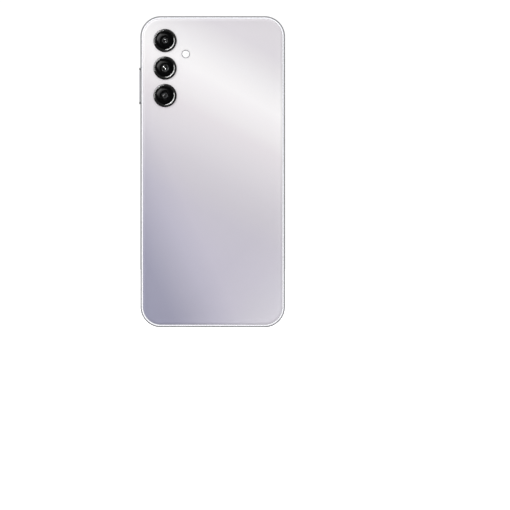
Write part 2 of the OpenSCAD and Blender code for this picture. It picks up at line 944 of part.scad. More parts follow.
module main_flex() {
    skin = y_bracket_back - 0.03;
    strip_t = 0.14;
    color([0.78, 0.5, 0.16])
    union() {
        box([8, skin - strip_t, 19], [18, skin, board_low + 4.4]);
        box([8.5, y_sub_back - 0.5, 18.2], [17.5, y_sub_back, 21.4]);
        box([9.5, skin - strip_t, 19], [16.5, y_sub_back, 20.6]);
        box([9.5, skin - strip_t, board_low + 2.4], [16.5, y_board_back - 0.6, board_low + 4.2]);
    }
}

module antenna_cable() {
    side_x = -half_w + 5.1;
    cable_r = 0.4;
    cable_y = y_board + 0.5;
    low = 24.05;
    high = board_low + 1.5;
    plug_x = -1.5;
    color([0.85, 0.85, 0.85])
    union() {
        translate([side_x, cable_y, low])
            cylinder(r = cable_r, h = high - low);
        rod_x(cable_y, low, cable_r, side_x, plug_x);
        rod_x(cable_y, high, cable_r, side_x, board_left + 3);
        translate([side_x, cable_y, low])
            sphere(r = cable_r);
        translate([side_x, cable_y, high])
            sphere(r = cable_r);
        translate([plug_x, cable_y, low - 2.6])
            cylinder(r = cable_r, h = 2.6);
        rod_y(plug_x, low - 2.8, 1.1, y_sub, cable_y + 0.3);
        rod_y(board_left + 3, high, 1.1, y_board, cable_y + 0.3);
    }
}

// ---------- power and vibration ----------

module battery() {
    color([0.16, 0.16, 0.18])
    union() {
        slab(y_bracket_back, y_plate - 0.1)
            translate([battery_x, (battery_low + battery_high) / 2])
                polygon(rounded(2 * battery_half_x, battery_high - battery_low, 2));
        // tail and plug
        box([22, y_board_back - 0.35, battery_high - EPS], [30, y_board_back - 0.15, board_low + 4.3]);
        box([23, y_board_back - 0.35, board_low + 1.3], [29, y_board_back, board_low + 4.3]);
    }
}

module battery_adhesive() {
    color([0.9, 0.9, 0.88])
    for (side = [-1, 1])
        box([battery_x + side * 14 - 10, y_plate - 0.1, battery_low + 6],
            [battery_x + side * 14 + 10, y_plate, battery_high - 6]);
}

module motor_can() {
    low = y_sub;
    high = y_sub + 2.7;
    leaf = 0.2;
    color([0.78, 0.79, 0.8])
    union() {
        difference() {
            rod_y(motor_x, motor_z, motor_r, low, high);
            rod_y(motor_x, motor_z, motor_r - leaf, low + leaf, high - leaf);
        }
        rod_y(motor_x, motor_z, 0.4, low + leaf / 2, high - leaf / 2);
    }
}

module motor_rotor() {
    low = y_sub + 0.6;
    high = y_sub + 2.1;
    color([0.55, 0.5, 0.4])
    difference() {
        union() {
            rod_y(motor_x, motor_z, 1.2, low, high);
            intersection() {
                rod_y(motor_x, motor_z, 3.4, low, high);
                box([motor_x - 4, low, motor_z - 4], [motor_x + 4, high, motor_z]);
            }
        }
        rod_y(motor_x, motor_z, 0.45, low - EPS, high + EPS);
    }
}

module screws() {
    shank_tip = y_plate_front - 0.3;
    head_low_y = y_bracket_back - 0.1;
    seat = y_bracket_back + 0.2;
    color([0.7, 0.7, 0.72])
    for (s = concat(board_screws, free_screws, sub_screws))
        difference() {
            union() {
                rod_y(s[0], s[1], screw_r, seat - 0.1, shank_tip);
                rod_y(s[0], s[1], head_r, head_low_y, seat);
            }
            box([s[0] - 0.8, head_low_y - EPS, s[1] - 0.13], [s[0] + 0.8, head_low_y + 0.15, s[1] + 0.13]);
            box([s[0] - 0.13, head_low_y - EPS, s[1] - 0.8], [s[0] + 0.13, head_low_y + 0.15, s[1] + 0.8]);
        }
}

rear_cover();
rear_cover_adhesive();
mid_frame();
mid_plate();
upper_camera_ring();
main_camera_ring();
lower_camera_ring();
upper_camera_glass();
main_camera_glass();
lower_camera_glass();
flash_lens();
flash_led();
cover_glass();
lcd_panel();
backlight_unit();
display_adhesive();
display_flex();
earpiece_mesh();
volume_key();
power_key();
fingerprint_sensor();
key_flex();
volume_domes();
power_dome();
sim_tray();
sim_tray_seal();
sim_reader();
eject_plunger();
eject_lever();
eject_lever_pin();
main_board();
processor();
radio_shield();
power_shield();
board_connectors();
main_camera_housing();
main_camera_barrel();
depth_camera();
macro_camera();
front_camera();
earpiece_housing();
earpiece_diaphragm();
top_microphone();
bottom_microphone();
loudspeaker_box();
loudspeaker_diaphragm();
speaker_mesh();
headphone_jack();
usb_shell();
usb_tongue();
sub_board();
main_flex();
antenna_cable();
battery();
battery_adhesive();
motor_can();
motor_rotor();
upper_bracket();
lower_bracket();
screws();
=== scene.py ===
import json
import math

import bmesh
import bpy
from mathutils import Matrix, Vector

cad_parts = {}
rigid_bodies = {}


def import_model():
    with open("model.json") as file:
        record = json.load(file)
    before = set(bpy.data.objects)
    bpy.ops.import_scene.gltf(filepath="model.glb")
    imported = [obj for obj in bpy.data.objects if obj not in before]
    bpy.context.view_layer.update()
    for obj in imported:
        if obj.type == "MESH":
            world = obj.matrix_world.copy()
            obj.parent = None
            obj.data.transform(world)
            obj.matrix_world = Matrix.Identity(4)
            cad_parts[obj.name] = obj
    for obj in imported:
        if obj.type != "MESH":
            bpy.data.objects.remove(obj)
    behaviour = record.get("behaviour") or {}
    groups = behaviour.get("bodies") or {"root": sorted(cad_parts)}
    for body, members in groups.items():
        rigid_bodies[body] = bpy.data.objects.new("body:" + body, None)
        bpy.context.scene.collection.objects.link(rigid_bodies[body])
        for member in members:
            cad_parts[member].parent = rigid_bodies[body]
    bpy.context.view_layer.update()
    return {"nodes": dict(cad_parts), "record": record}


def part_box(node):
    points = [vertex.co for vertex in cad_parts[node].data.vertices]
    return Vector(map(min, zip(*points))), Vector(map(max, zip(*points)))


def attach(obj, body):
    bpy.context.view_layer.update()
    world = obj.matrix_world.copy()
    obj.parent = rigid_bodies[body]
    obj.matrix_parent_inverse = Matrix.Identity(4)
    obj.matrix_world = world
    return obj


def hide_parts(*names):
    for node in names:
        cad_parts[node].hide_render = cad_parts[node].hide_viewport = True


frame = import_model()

MM = 0.001


# ---------- sizes from the frame ----------

def box_mm(node):
    """Low and high corner of a CAD node, in millimetres."""
    lo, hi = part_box(node)
    return [v / MM for v in lo], [v / MM for v in hi]


def mid(lo, hi, axis):
    """Middle of a box along x, y or z."""
    return (lo["xyz".index(axis)] + hi["xyz".index(axis)]) / 2


def round_part(node):
    """Centre at y = 0, and radius, of a part that is round seen from the back."""
    lo, hi = box_mm(node)
    return (mid(lo, hi, "x"), 0, mid(lo, hi, "z")), (hi[0] - lo[0]) / 2


rail_hi = box_mm("mid_frame")[1]
HALF_W = rail_hi[0]
BODY_H = rail_hi[2]
MID_Z = BODY_H / 2
CORNER = 11.0   # radius of the body's corners
back_lo, back_hi = box_mm("rear_cover")
Y_BACK = back_lo[1]
Y_COVER = back_hi[1]
screen_lo, screen_hi = box_mm("cover_glass")
Y_FRONT = screen_hi[1]
Y_GLASS = screen_lo[1]
COVER_INSET = HALF_W - back_hi[0]
GLASS_INSET = HALF_W - screen_hi[0]
WALL = 2.4      # thickness of the side rail
KEY_Y = -0.3    # middle of the side keys across the rail
POWER_FLANGE = 0.8   # how far the power key's flange reaches past its face at each end


# ---------- mesh helpers ----------

def make_object(name, verts, faces, smooth_deg=35.0):
    """Mesh object from millimetre points, with smooth faces and sharp edges above an angle."""
    mesh = bpy.data.meshes.new(name)
    mesh.from_pydata([(x * MM, y * MM, z * MM) for x, y, z in verts], [], faces)
    bm = bmesh.new()
    bm.from_mesh(mesh)
    bmesh.ops.remove_doubles(bm, verts=bm.verts, dist=1e-7)
    bmesh.ops.recalc_face_normals(bm, faces=bm.faces)
    bm.to_mesh(mesh)
    bm.free()
    obj = bpy.data.objects.new(name, mesh)
    bpy.context.scene.collection.objects.link(obj)
    shade(obj, smooth_deg)
    return obj


def shade(obj, smooth_deg):
    """Smooth faces, with sharp edges above an angle."""
    mesh = obj.data
    mesh.polygons.foreach_set("use_smooth", [True] * len(mesh.polygons))
    mesh.set_sharp_from_angle(angle=math.radians(smooth_deg))
    mesh.update()


def arc(p, q, bulge, steps):
    """Points from p to q along an arc that bulges to the left by that part of the chord."""
    (x0, y0), (x1, y1) = p, q
    chord = math.hypot(x1 - x0, y1 - y0)
    sag = abs(bulge) * chord
    if sag < 1e-6:
        return [p, q]
    radius = (chord * chord / 4 + sag * sag) / (2 * sag)
    mx, my = (x0 + x1) / 2, (y0 + y1) / 2
    nx, ny = -(y1 - y0) / chord, (x1 - x0) / chord
    side = 1 if bulge > 0 else -1
    cx, cy = mx - nx * side * (radius - sag), my - ny * side * (radius - sag)
    a0 = math.atan2(y0 - cy, x0 - cx)
    a1 = math.atan2(y1 - cy, x1 - cx)
    turn = (a1 - a0 + math.pi) % (2 * math.pi) - math.pi
    return [(cx + radius * math.cos(a0 + turn * i / steps), cy + radius * math.sin(a0 + turn * i / steps))
            for i in range(steps + 1)]


def path_points(inset, steps):
    """Corner points of the body outline moved inwards."""
    r = max(CORNER - inset, 0.01)
    out = []
    for k, (sx, sz) in enumerate(((1, 1), (-1, 1), (-1, -1), (1, -1))):
        cx, cc = sx * (HALF_W - CORNER), MID_Z + sz * (MID_Z - CORNER)
        for i in range(steps + 1):
            a = math.radians(90 * k + 90 * i / steps)
            out.append((cx + r * math.cos(a), cc + r * math.sin(a)))
    return out


def sweep(name, profile, closed=True, smooth_deg=35.0, steps=24):
    """Sweep a profile of (inset, y) round the body outline. An open profile is capped flat at both ends."""
    verts, faces = [], []
    rows = len(profile)
    for d, y in profile:
        verts += [(x, y, z) for x, z in path_points(d, steps)]
    n = 4 * (steps + 1)
    last = rows if closed else rows - 1
    for i in range(last):
        a, b = i * n, ((i + 1) % rows) * n
        for j in range(n):
            k = (j + 1) % n
            faces.append((a + j, a + k, b + k, b + j))
    if not closed:
        faces.append(tuple(range((rows - 1) * n, rows * n)))
        faces.append(tuple(reversed(range(0, n))))
    return make_object(name, verts, faces, smooth_deg)


def lathe(name, profile, centre, axis="y", steps=96, closed=True, smooth_deg=35.0):
    """Turn a profile of (radius, height) about an axis through centre. A point at radius 0 closes the end."""
    verts, faces = [], []
    rings = []
    for r, h in profile:
        if r < 1e-6:
            rings.append([len(verts)])
            verts.append((0, 0, h))
        else:
            rings.append(list(range(len(verts), len(verts) + steps)))
            verts += [(x, y, h) for x, y in circle(r, steps)]
    count = len(rings) if closed else len(rings) - 1
    for i in range(count):
        a, b = rings[i], rings[(i + 1) % len(rings)]
        if len(a) == 1 and len(b) == 1:
            continue
        for j in range(steps):
            k = (j + 1) % steps
            if len(a) == 1:
                faces.append((a[0], b[j], b[k]))
            elif len(b) == 1:
                faces.append((a[j], a[k], b[0]))
            else:
                faces.append((a[j], a[k], b[k], b[j]))
    cx, cy, cz = centre
    if axis == "y":
        verts = [(cx + x, cy + h, cz + y) for x, y, h in verts]
    elif axis == "x":
        verts = [(cx + h, cy + x, cz + y) for x, y, h in verts]
    else:
        verts = [(cx + x, cy + y, cz + h) for x, y, h in verts]
    return make_object(name, verts, faces, smooth_deg)


def plug(r, h0, h1, centre, axis="y", steps=96):
    """Round cutter from height h0 to h1."""
    return lathe("c", [(0, h0), (r, h0), (r, h1), (0, h1)], centre, axis, steps, closed=False)


def stadium(half_long, half_short, steps=12):
    """Outline of a slot with round ends, long side first."""
    r = half_short
    out = []
    for k, s in ((0, 1), (1, -1)):
        for i in range(steps + 1):
            a = math.radians(-90 + 180 * k + 180 * i / steps)
            out.append((s * (half_long - r) + r * math.cos(a), r * math.sin(a)))
    return out


def circle(r, steps):
    return [(r * math.cos(2 * math.pi * i / steps), r * math.sin(2 * math.pi * i / steps)) for i in range(steps)]


def round_rect(half_a, half_b, r, steps=8):
    """Outline of a rectangle with round corners."""
    out = []
    for k, (sa, sb) in enumerate(((1, 1), (-1, 1), (-1, -1), (1, -1))):
        for i in range(steps + 1):
            t = math.radians(90 * k + 90 * i / steps)
            out.append((sa * (half_a - r) + r * math.cos(t), sb * (half_b - r) + r * math.sin(t)))
    return out


def loft(name, sections, place):
    """Join sections of (outline, height). place turns (a, b, height) into (x, y, z) in millimetres."""
    verts, faces = [], []
    n = len(sections[0][0])
    for outline, h in sections:
        verts += [place(a, b, h) for a, b in outline]
    for i in range(len(sections) - 1):
        p, q = i * n, (i + 1) * n
        for j in range(n):
            k = (j + 1) % n
            faces.append((p + j, p + k, q + k, q + j))
    faces.append(tuple(reversed(range(n))))
    faces.append(tuple(range((len(sections) - 1) * n, len(sections) * n)))
    return make_object(name, verts, faces)


def boxed(name, lo, hi, edge):
    """Box with softened edges."""
    verts = [(x, y, z) for x in (lo[0], hi[0]) for y in (lo[1], hi[1]) for z in (lo[2], hi[2])]
    faces = [(0, 1, 3, 2), (4, 6, 7, 5), (0, 4, 5, 1), (2, 3, 7, 6), (0, 2, 6, 4), (1, 5, 7, 3)]
    obj = make_object(name, verts, faces)
    bevel(obj, edge, 3)
    return obj


def bevel(obj, width, segments):
    """Round the edges sharper than 30 degrees."""
    mod = obj.modifiers.new("edge", "BEVEL")
    mod.width = width * MM
    mod.segments = segments
    mod.limit_method = "ANGLE"
    mod.angle_limit = math.radians(30)
    mod.harden_normals = False
    bake_modifiers(obj)
    shade(obj, 40)


def bake_modifiers(obj):
    """Replace the mesh by its modified form."""
    dg = bpy.context.evaluated_depsgraph_get()
    dg.update()
    mesh = bpy.data.meshes.new_from_object(obj.evaluated_get(dg))
    old = obj.data
    obj.modifiers.clear()
    obj.data = mesh
    bpy.data.meshes.remove(old)


def cut(obj, cutters, smooth_deg=35.0):
    """Take closed cutter objects out of obj."""
    for c in cutters:
        mod = obj.modifiers.new("cut", "BOOLEAN")
        mod.operation = "DIFFERENCE"
        mod.solver = "EXACT"
        mod.object = c
    bake_modifiers(obj)
    for c in cutters:
        mesh = c.data
        bpy.data.objects.remove(c)
        bpy.data.meshes.remove(mesh)
    shade(obj, smooth_deg)
    return obj


def joined(name, objs):
    """Several objects as one piece."""
    bm = bmesh.new()
    for o in objs:
        bm.from_mesh(o.data)
    mesh = bpy.data.meshes.new(name)
    bm.to_mesh(mesh)
    bm.free()
    for o in objs:
        old = o.data
        bpy.data.objects.remove(o)
        bpy.data.meshes.remove(old)
    obj = bpy.data.objects.new(name, mesh)
    bpy.context.scene.collection.objects.link(obj)
    shade(obj, 35)
    return obj


def piece(obj, body, slot, *nodes, material):
    """Put a piece on its CAD body."""
    obj.data.materials.clear()
    obj.data.materials.append(material)
    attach(obj, body)
    if nodes:
        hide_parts(*nodes)
    return obj


# ---------- materials ----------

class Shader:
    """A principled material and its node tree."""

    def __init__(self, name, **values):
        self.mat = bpy.data.materials.new(name)
        self.mat.use_nodes = True
        self.tree = self.mat.node_tree
        self.bsdf = self.tree.nodes["Principled BSDF"]
        for key, value in values.items():
            socket = self.bsdf.inputs[key.replace("_", " ")]
            if hasattr(value, "__len__") and len(value) == 3 and socket.type == "RGBA":
                value = (*value, 1.0)
            socket.default_value = value

    def node(self, kind, **values):
        n = self.tree.nodes.new(kind)
        for key, value in values.items():
            if hasattr(n, key):
                setattr(n, key, value)
            else:
                n.inputs[key.replace("_", " ")].default_value = value
        return n

    def link(self, a, out, b, into):
        self.tree.links.new(a.outputs[out], b.inputs[into])

    def coords(self):
        return self.node("ShaderNodeTexCoord")

    def noise(self, scale, detail=4.0, rough=0.55, stretch=None):
        tc = self.coords()
        tex = self.node("ShaderNodeTexNoise")
        tex.inputs["Scale"].default_value = scale
        tex.inputs["Detail"].default_value = detail
        tex.inputs["Roughness"].default_value = rough
        if stretch:
            mapping = self.node("ShaderNodeMapping")
            mapping.inputs["Scale"].default_value = stretch
            self.link(tc, "Object", mapping, "Vector")
            self.link(mapping, "Vector", tex, "Vector")
        else:
            self.link(tc, "Object", tex, "Vector")
        return tex

    def bump(self, tex, strength, distance):
        b = self.node("ShaderNodeBump")
        b.inputs["Strength"].default_value = strength
        b.inputs["Distance"].default_value = distance
        self.link(tex, "Fac", b, "Height")
        self.link(b, "Normal", self.bsdf, "Normal")

    def ramp(self, tex, stops, out="Fac"):
        r = self.node("ShaderNodeValToRGB")
        while len(r.color_ramp.elements) < len(stops):
            r.color_ramp.elements.new(0.5)
        for e, (pos, col) in zip(r.color_ramp.elements, stops):
            e.position = pos
            e.color = (*col, 1.0)
        self.link(tex, out, r, "Fac")
        return r

    def vary(self, tex, socket, low, high):
        """Drive a number socket between two values."""
        m = self.node("ShaderNodeMapRange")
        m.inputs["To Min"].default_value = low
        m.inputs["To Max"].default_value = high
        self.link(tex, "Fac", m, "Value")
        self.link(m, "Result", self.bsdf, socket)


def srgb(r, g, b):
    """Linear colour from display values of 0 to 255."""
    def lin(c):
        c /= 255
        return c / 12.92 if c <= 0.04045 else ((c + 0.055) / 1.055) ** 2.4
    return (lin(r), lin(g), lin(b))


# the pearl paint's tint, a painted reflection band, painted shade and a painted glint change along three slants:
# millimetres along the slant, and the colour there
# slow lilac-to-silver tint with a painted reflection band, brightest near 134 mm along the slant
TINT_AND_SHEEN_SLANT = (0.56, 0.0, 1.0)
TINT_AND_SHEEN_STOPS = [
    (40, (203, 199, 212)), (60, (204, 200, 211)), (72, (209, 205, 213)), (82, (214, 210, 217)),
    (98, (225, 221, 226)), (111, (233, 228, 232)), (119, (241, 238, 240)), (126, (246, 243, 245)),
    (134, (251, 249, 250)), (140, (248, 246, 247)), (147, (242, 240, 242)), (157, (232, 229, 232)),
    (165, (225, 221, 226)), (185, (224, 220, 224)),
]
# painted shade: the back grows darker and a little bluer towards the lower left
PAINTED_SHADE_SLANT = (1.3, 0.0, 0.6)
PAINTED_SHADE_STOPS = [
    (-41, (161, 161, 182)), (-25, (165, 164, 184)), (-10, (180, 178, 195)), (5, (193, 190, 206)),
    (21, (202, 198, 212)), (32, (203, 199, 212)),
]
# painted glint: the back grows lighter towards the lower right
GLINT_SLANT = (1.0, 0.0, -0.9)
GLINT_STOPS = [
    (-20, (203, 199, 212)), (0, (208, 204, 216)), (12, (212, 209, 219)), (22, (217, 214, 223)),
    (32, (222, 219, 227)),
]


def pearl_and_painted_light_material():
    """Pale lilac pearl paint, the product of three slanted ramps and a fine flake; the ramps paint a diagonal
    reflection band, shade towards the lower left and a glint towards the lower right into the colour.
    """
    s = Shader("pearl_lilac_painted_light", Metallic=0.14, Roughness=0.3, Coat_Weight=0.4, Coat_Roughness=0.06)
    tc = s.coords()

    def slanted(direction, stops, divide_by=None):
        dot = s.node("ShaderNodeVectorMath", operation="DOT_PRODUCT")
        dot.inputs[1].default_value = direction
        s.link(tc, "Object", dot, 0)
        lo, hi = stops[0][0], stops[-1][0]
        span = s.node("ShaderNodeMapRange")
        span.inputs["From Min"].default_value = lo * MM
        span.inputs["From Max"].default_value = hi * MM
        s.link(dot, "Value", span, "Value")
        base = srgb(*divide_by) if divide_by else (1, 1, 1)
        return s.ramp(span, [((t - lo) / (hi - lo), tuple(c / b for c, b in zip(srgb(*col), base)))
                             for t, col in stops], "Result")

    def times(a, a_out, b, b_out):
        mix = s.node("ShaderNodeMix", data_type="RGBA", blend_type="MULTIPLY")
        mix.inputs["Factor"].default_value = 1.0
        s.link(a, a_out, mix, 6)
        s.link(b, b_out, mix, 7)
        return mix

    # painted reflection band over the pearl tint
    tint_and_sheen_ramp = slanted(TINT_AND_SHEEN_SLANT, TINT_AND_SHEEN_STOPS)
    # painted shade towards the lower left
    painted_shade_ramp = slanted(PAINTED_SHADE_SLANT, PAINTED_SHADE_STOPS, PAINTED_SHADE_STOPS[-1][1])
    # painted glint towards the lower right
    glint_ramp = slanted(GLINT_SLANT, GLINT_STOPS, GLINT_STOPS[0][1])
    flake = s.ramp(s.noise(9000.0, 2.0), [(0.35, (0.96, 0.96, 0.965)), (0.65, (1.0, 1.0, 1.0))])
    with_painted_shade = times(tint_and_sheen_ramp, "Color", painted_shade_ramp, "Color")
    lit = times(with_painted_shade, 2, glint_ramp, "Color")
    s.link(times(lit, 2, flake, "Color"), 2, s.bsdf, "Base Color")
    s.vary(s.noise(5000.0, 3.0), "Roughness", 0.27, 0.33)
    return s.mat


def painted(name, col, rough, metallic=0.0, coat=0.0, grain=0.0, scale=900.0, specular=0.5):
    """Moulded or painted surface with fine unevenness."""
    s = Shader(name, Base_Color=col, Metallic=metallic, Roughness=rough, Coat_Weight=coat, Coat_Roughness=0.08,
               Specular_IOR_Level=specular)
    tex = s.noise(scale, 5.0)
    s.vary(tex, "Roughness", max(rough - 0.03, 0.02), rough + 0.03)
    dark = tuple(c * 0.96 for c in col)
    s.link(s.ramp(tex, [(0.3, dark), (0.7, col)]), "Color", s.bsdf, "Base Color")
    if grain:
        s.bump(s.noise(scale * 3, 3.0), grain, 0.00002)
    return s.mat


def brushed(name, col, rough):
    """Bare metal with a grain across its length."""
    s = Shader(name, Base_Color=col, Metallic=1.0, Roughness=rough)
    tex = s.noise(120.0, 6.0, 0.7, stretch=(1, 1, 40))
    s.vary(tex, "Roughness", rough - 0.08, rough + 0.1)
    s.link(s.ramp(tex, [(0.3, tuple(c * 0.88 for c in col)), (0.7, col)]), "Color", s.bsdf, "Base Color")
    s.bump(tex, 0.12, 0.00001)
    return s.mat


def window(name, see_through, tint, rough=0.02):
    """Thin glass that light passes straight through."""
    s = Shader(name, Base_Color=tint, Roughness=rough, IOR=1.5, Alpha=1.0 - see_through)
    tex = s.noise(40.0, 2.0)
    s.vary(tex, "Roughness", rough, rough + 0.015)
    return s.mat


def board_material():
    """Green circuit board with a fine pattern of tracks."""
    s = Shader("board_green", Roughness=0.38, Coat_Weight=0.4, Coat_Roughness=0.15)
    tc = s.coords()
    bricks = s.node("ShaderNodeTexBrick")
    bricks.inputs["Scale"].default_value = 260.0
    bricks.inputs["Mortar Size"].default_value = 0.06
    bricks.inputs["Color1"].default_value = (*srgb(18, 74, 52), 1)
    bricks.inputs["Color2"].default_value = (*srgb(22, 84, 60), 1)
    bricks.inputs["Mortar"].default_value = (*srgb(52, 120, 84), 1)
    mapping = s.node("ShaderNodeMapping")
    mapping.inputs["Rotation"].default_value = (math.radians(90), 0, 0)
    s.link(tc, "Object", mapping, "Vector")
    s.link(mapping, "Vector", bricks, "Vector")
    s.link(bricks, "Color", s.bsdf, "Base Color")
    s.bump(bricks, 0.2, 0.00003)
    return s.mat


def mesh_material():
    """Dark woven mesh."""
    s = Shader("woven_mesh", Base_Color=srgb(26, 26, 28), Roughness=0.6, Metallic=0.4)
    tc = s.coords()
    tex = s.node("ShaderNodeTexChecker")
    tex.inputs["Scale"].default_value = 5000.0
    tex.inputs["Color1"].default_value = (*srgb(52, 52, 55), 1)
    tex.inputs["Color2"].default_value = (*srgb(12, 12, 13), 1)
    s.link(tc, "Object", tex, "Vector")
    s.link(tex, "Color", s.bsdf, "Base Color")
    s.bump(tex, 0.4, 0.00003)
    return s.mat


def screen_material():
    """Black-backed glass, with the lit area of the panel a shade lighter than its border."""
    s = Shader("screen_glass", Roughness=0.05, IOR=1.5)
    sep = s.node("ShaderNodeSeparateXYZ")
    s.link(s.coords(), "Object", sep, "Vector")

    def inside(axis, middle, half):
        """1 inside half of the middle along an axis, 0 outside, in millimetres."""
        off = s.node("ShaderNodeMath", operation="SUBTRACT")
        off.inputs[1].default_value = middle * MM
        s.link(sep, axis, off, 0)
        size = s.node("ShaderNodeMath", operation="ABSOLUTE")
        s.link(off, "Value", size, 0)
        edge = s.node("ShaderNodeMapRange")
        edge.inputs["From Min"].default_value = (half + 0.1) * MM
        edge.inputs["From Max"].default_value = (half - 0.1) * MM
        s.link(size, "Value", edge, "Value")
        return edge

    lo, hi = box_mm("lcd_panel")
    both = s.node("ShaderNodeMath", operation="MULTIPLY")
    s.link(inside("X", 0.0, hi[0] - 0.6), "Result", both, 0)
    s.link(inside("Z", (lo[2] + hi[2]) / 2 + 1.2, (hi[2] - lo[2]) / 2 - 1.9), "Result", both, 1)
    mix = s.node("ShaderNodeMix", data_type="RGBA", blend_type="ADD")
    s.link(both, "Value", mix, 0)
    grain = s.ramp(s.noise(500.0, 2.0), [(0.3, srgb(5, 5, 6)), (0.7, srgb(7, 7, 8))])
    s.link(grain, "Color", mix, 6)
    mix.inputs[7].default_value = (*srgb(22, 24, 29), 1)
    s.link(mix, 2, s.bsdf, "Base Color")
    return s.mat


M = {
    "pearl": pearl_and_painted_light_material(),
    "rail": painted("rail_silver", srgb(222, 222, 226), 0.14, metallic=0.94, scale=3000.0),
    "ring": painted("ring_black", srgb(4, 4, 5), 0.19, specular=0.22, scale=4000.0),
    "window": window("camera_window", 0.8, srgb(2, 2, 3)),
    "border": painted("window_border", srgb(3, 3, 4), 0.12, scale=4000.0, specular=0.15),
    # the volume key's silver is painted near white, lighter than the rail, a painted highlight for its bright edge
    # past the rail
    "key": painted("key_silver_painted_bright", srgb(240, 240, 243), 0.36, metallic=0.1, scale=12000.0),
    "screen": screen_material(),
    "clear": window("flash_clear", 0.08, srgb(252, 252, 252), 0.05),
    "rim": painted("flash_rim_grey", srgb(146, 146, 149), 0.3, coat=0.5, scale=3000.0),
    "led": painted("led_phosphor", srgb(244, 240, 214), 0.5),
    "baffle": painted("baffle_black", srgb(7, 7, 8), 0.45, scale=2000.0),
    "lens": painted("lens_coated", srgb(10, 10, 14), 0.06, coat=0.5, scale=300.0, specular=0.7),
    "main_lens": painted("main_lens_coated", srgb(10, 10, 14), 0.06, coat=1.0, scale=300.0, specular=1.0),
    "lens_ring": painted("lens_retainer", srgb(138, 138, 142), 0.35, metallic=0.3, scale=2000.0),
    "panel": painted("panel_dark", srgb(12, 13, 17), 0.12, coat=0.6),
    "steel": brushed("stamped_steel", srgb(196, 197, 200), 0.32),
    "bright": brushed("bright_steel", srgb(220, 221, 223), 0.16),
    "black_foam": painted("foam_tape", srgb(24, 24, 24), 0.9, grain=0.3),
    "white_tape": painted("stretch_tape", srgb(228, 228, 222), 0.6, grain=0.1),
    "mesh": mesh_material(),
    "alloy": painted("cast_alloy", srgb(172, 174, 179), 0.45, metallic=0.9, grain=0.2, scale=1500.0),
    "sensor": painted("sensor_cap", srgb(196, 196, 201), 0.22, metallic=0.4, coat=0.5),
    "flex": painted("polyimide", srgb(196, 128, 44), 0.28, coat=0.4, scale=600.0),
    "rubber": painted("rubber_black", srgb(18, 18, 18), 0.75, grain=0.2),
    "board": board_material(),
    "chip": painted("chip_black", srgb(30, 30, 32), 0.55, grain=0.3, scale=2500.0),
    "cream": painted("connector_cream", srgb(218, 206, 176), 0.45),
    "module": painted("moulded_black", srgb(22, 22, 24), 0.5, grain=0.2, scale=2000.0),
    "film": painted("speaker_film", srgb(118, 118, 122), 0.4),
    "cable": painted("coax_white", srgb(224, 224, 224), 0.45),
    "cell": painted("cell_wrap", srgb(42, 42, 46), 0.5, grain=0.1, scale=300.0),
    "weight": brushed("dense_weight", srgb(150, 140, 112), 0.4),
    "gold": brushed("gold_contact", srgb(230, 186, 92), 0.25),
}

SLOT_LOOK = {
    "adhesive": "black_foam", "alloy": "alloy", "led": "led", "panel": "panel", "steel": "steel",
    "bright_steel": "bright", "white_adhesive": "white_tape", "mesh": "mesh", "flex": "flex", "dome": "steel",
    "seal": "rubber", "board": "board", "chip": "chip", "connector": "cream", "module": "module",
    "lens_black": "module", "cone": "film", "cable": "cable", "cell": "cell", "weight": "weight",
    "bracket": "module", "pearl_back": "pearl", "silver_frame": "rail", "black_ring": "ring",
    "camera_window": "window", "clear_lens": "clear", "screen_glass": "screen", "sensor": "sensor",
}
slot_of = {s["node"]: s["material_slot"] for s in frame["record"]["subparts"]}
for node_name, node_obj in frame["nodes"].items():
    look = M[SLOT_LOOK[slot_of[node_name]]]
    for i in range(max(len(node_obj.material_slots), 1)):
        if i < len(node_obj.material_slots):
            node_obj.material_slots[i].material = look
        else:
            node_obj.data.materials.append(look)


# ---------- rear cover ----------

def rear_cover_piece():
    """Back shell with rounded edges, and holes for the cameras and the flash."""
    d = COVER_INSET
    edge = [(d, Y_COVER), (d, Y_BACK + 0.3)]
    edge += arc((d, Y_BACK + 0.3), (d + 1.6, Y_BACK + 0.002), -0.1, 14)[1:]
    edge += [(d + 5.0, Y_BACK + 0.001), (CORNER - 1.2, Y_BACK + 0.001)]
    obj = sweep("rear_cover_shell", edge, closed=False)
    cutters = []
    for node in ("upper_camera_ring", "main_camera_ring", "lower_camera_ring"):
        centre, r = round_part(node)
        cutters.append(plug(r - 0.8, Y_BACK - 1, Y_COVER + 1, centre))
    centre, r = round_part("flash_lens")
    r -= 0.45
    cutters.append(lathe("c", [(0, Y_BACK - 1), (r + 0.12, Y_BACK - 1), (r + 0.12, Y_BACK), (r, Y_BACK + 0.12),
                               (r, Y_COVER + 1), (0, Y_COVER + 1)], centre, closed=False))
    cut(obj, cutters)
    return piece(obj, "phone", "pearl_back", "rear_cover", material=M["pearl"])


# ---------- side rail ----------

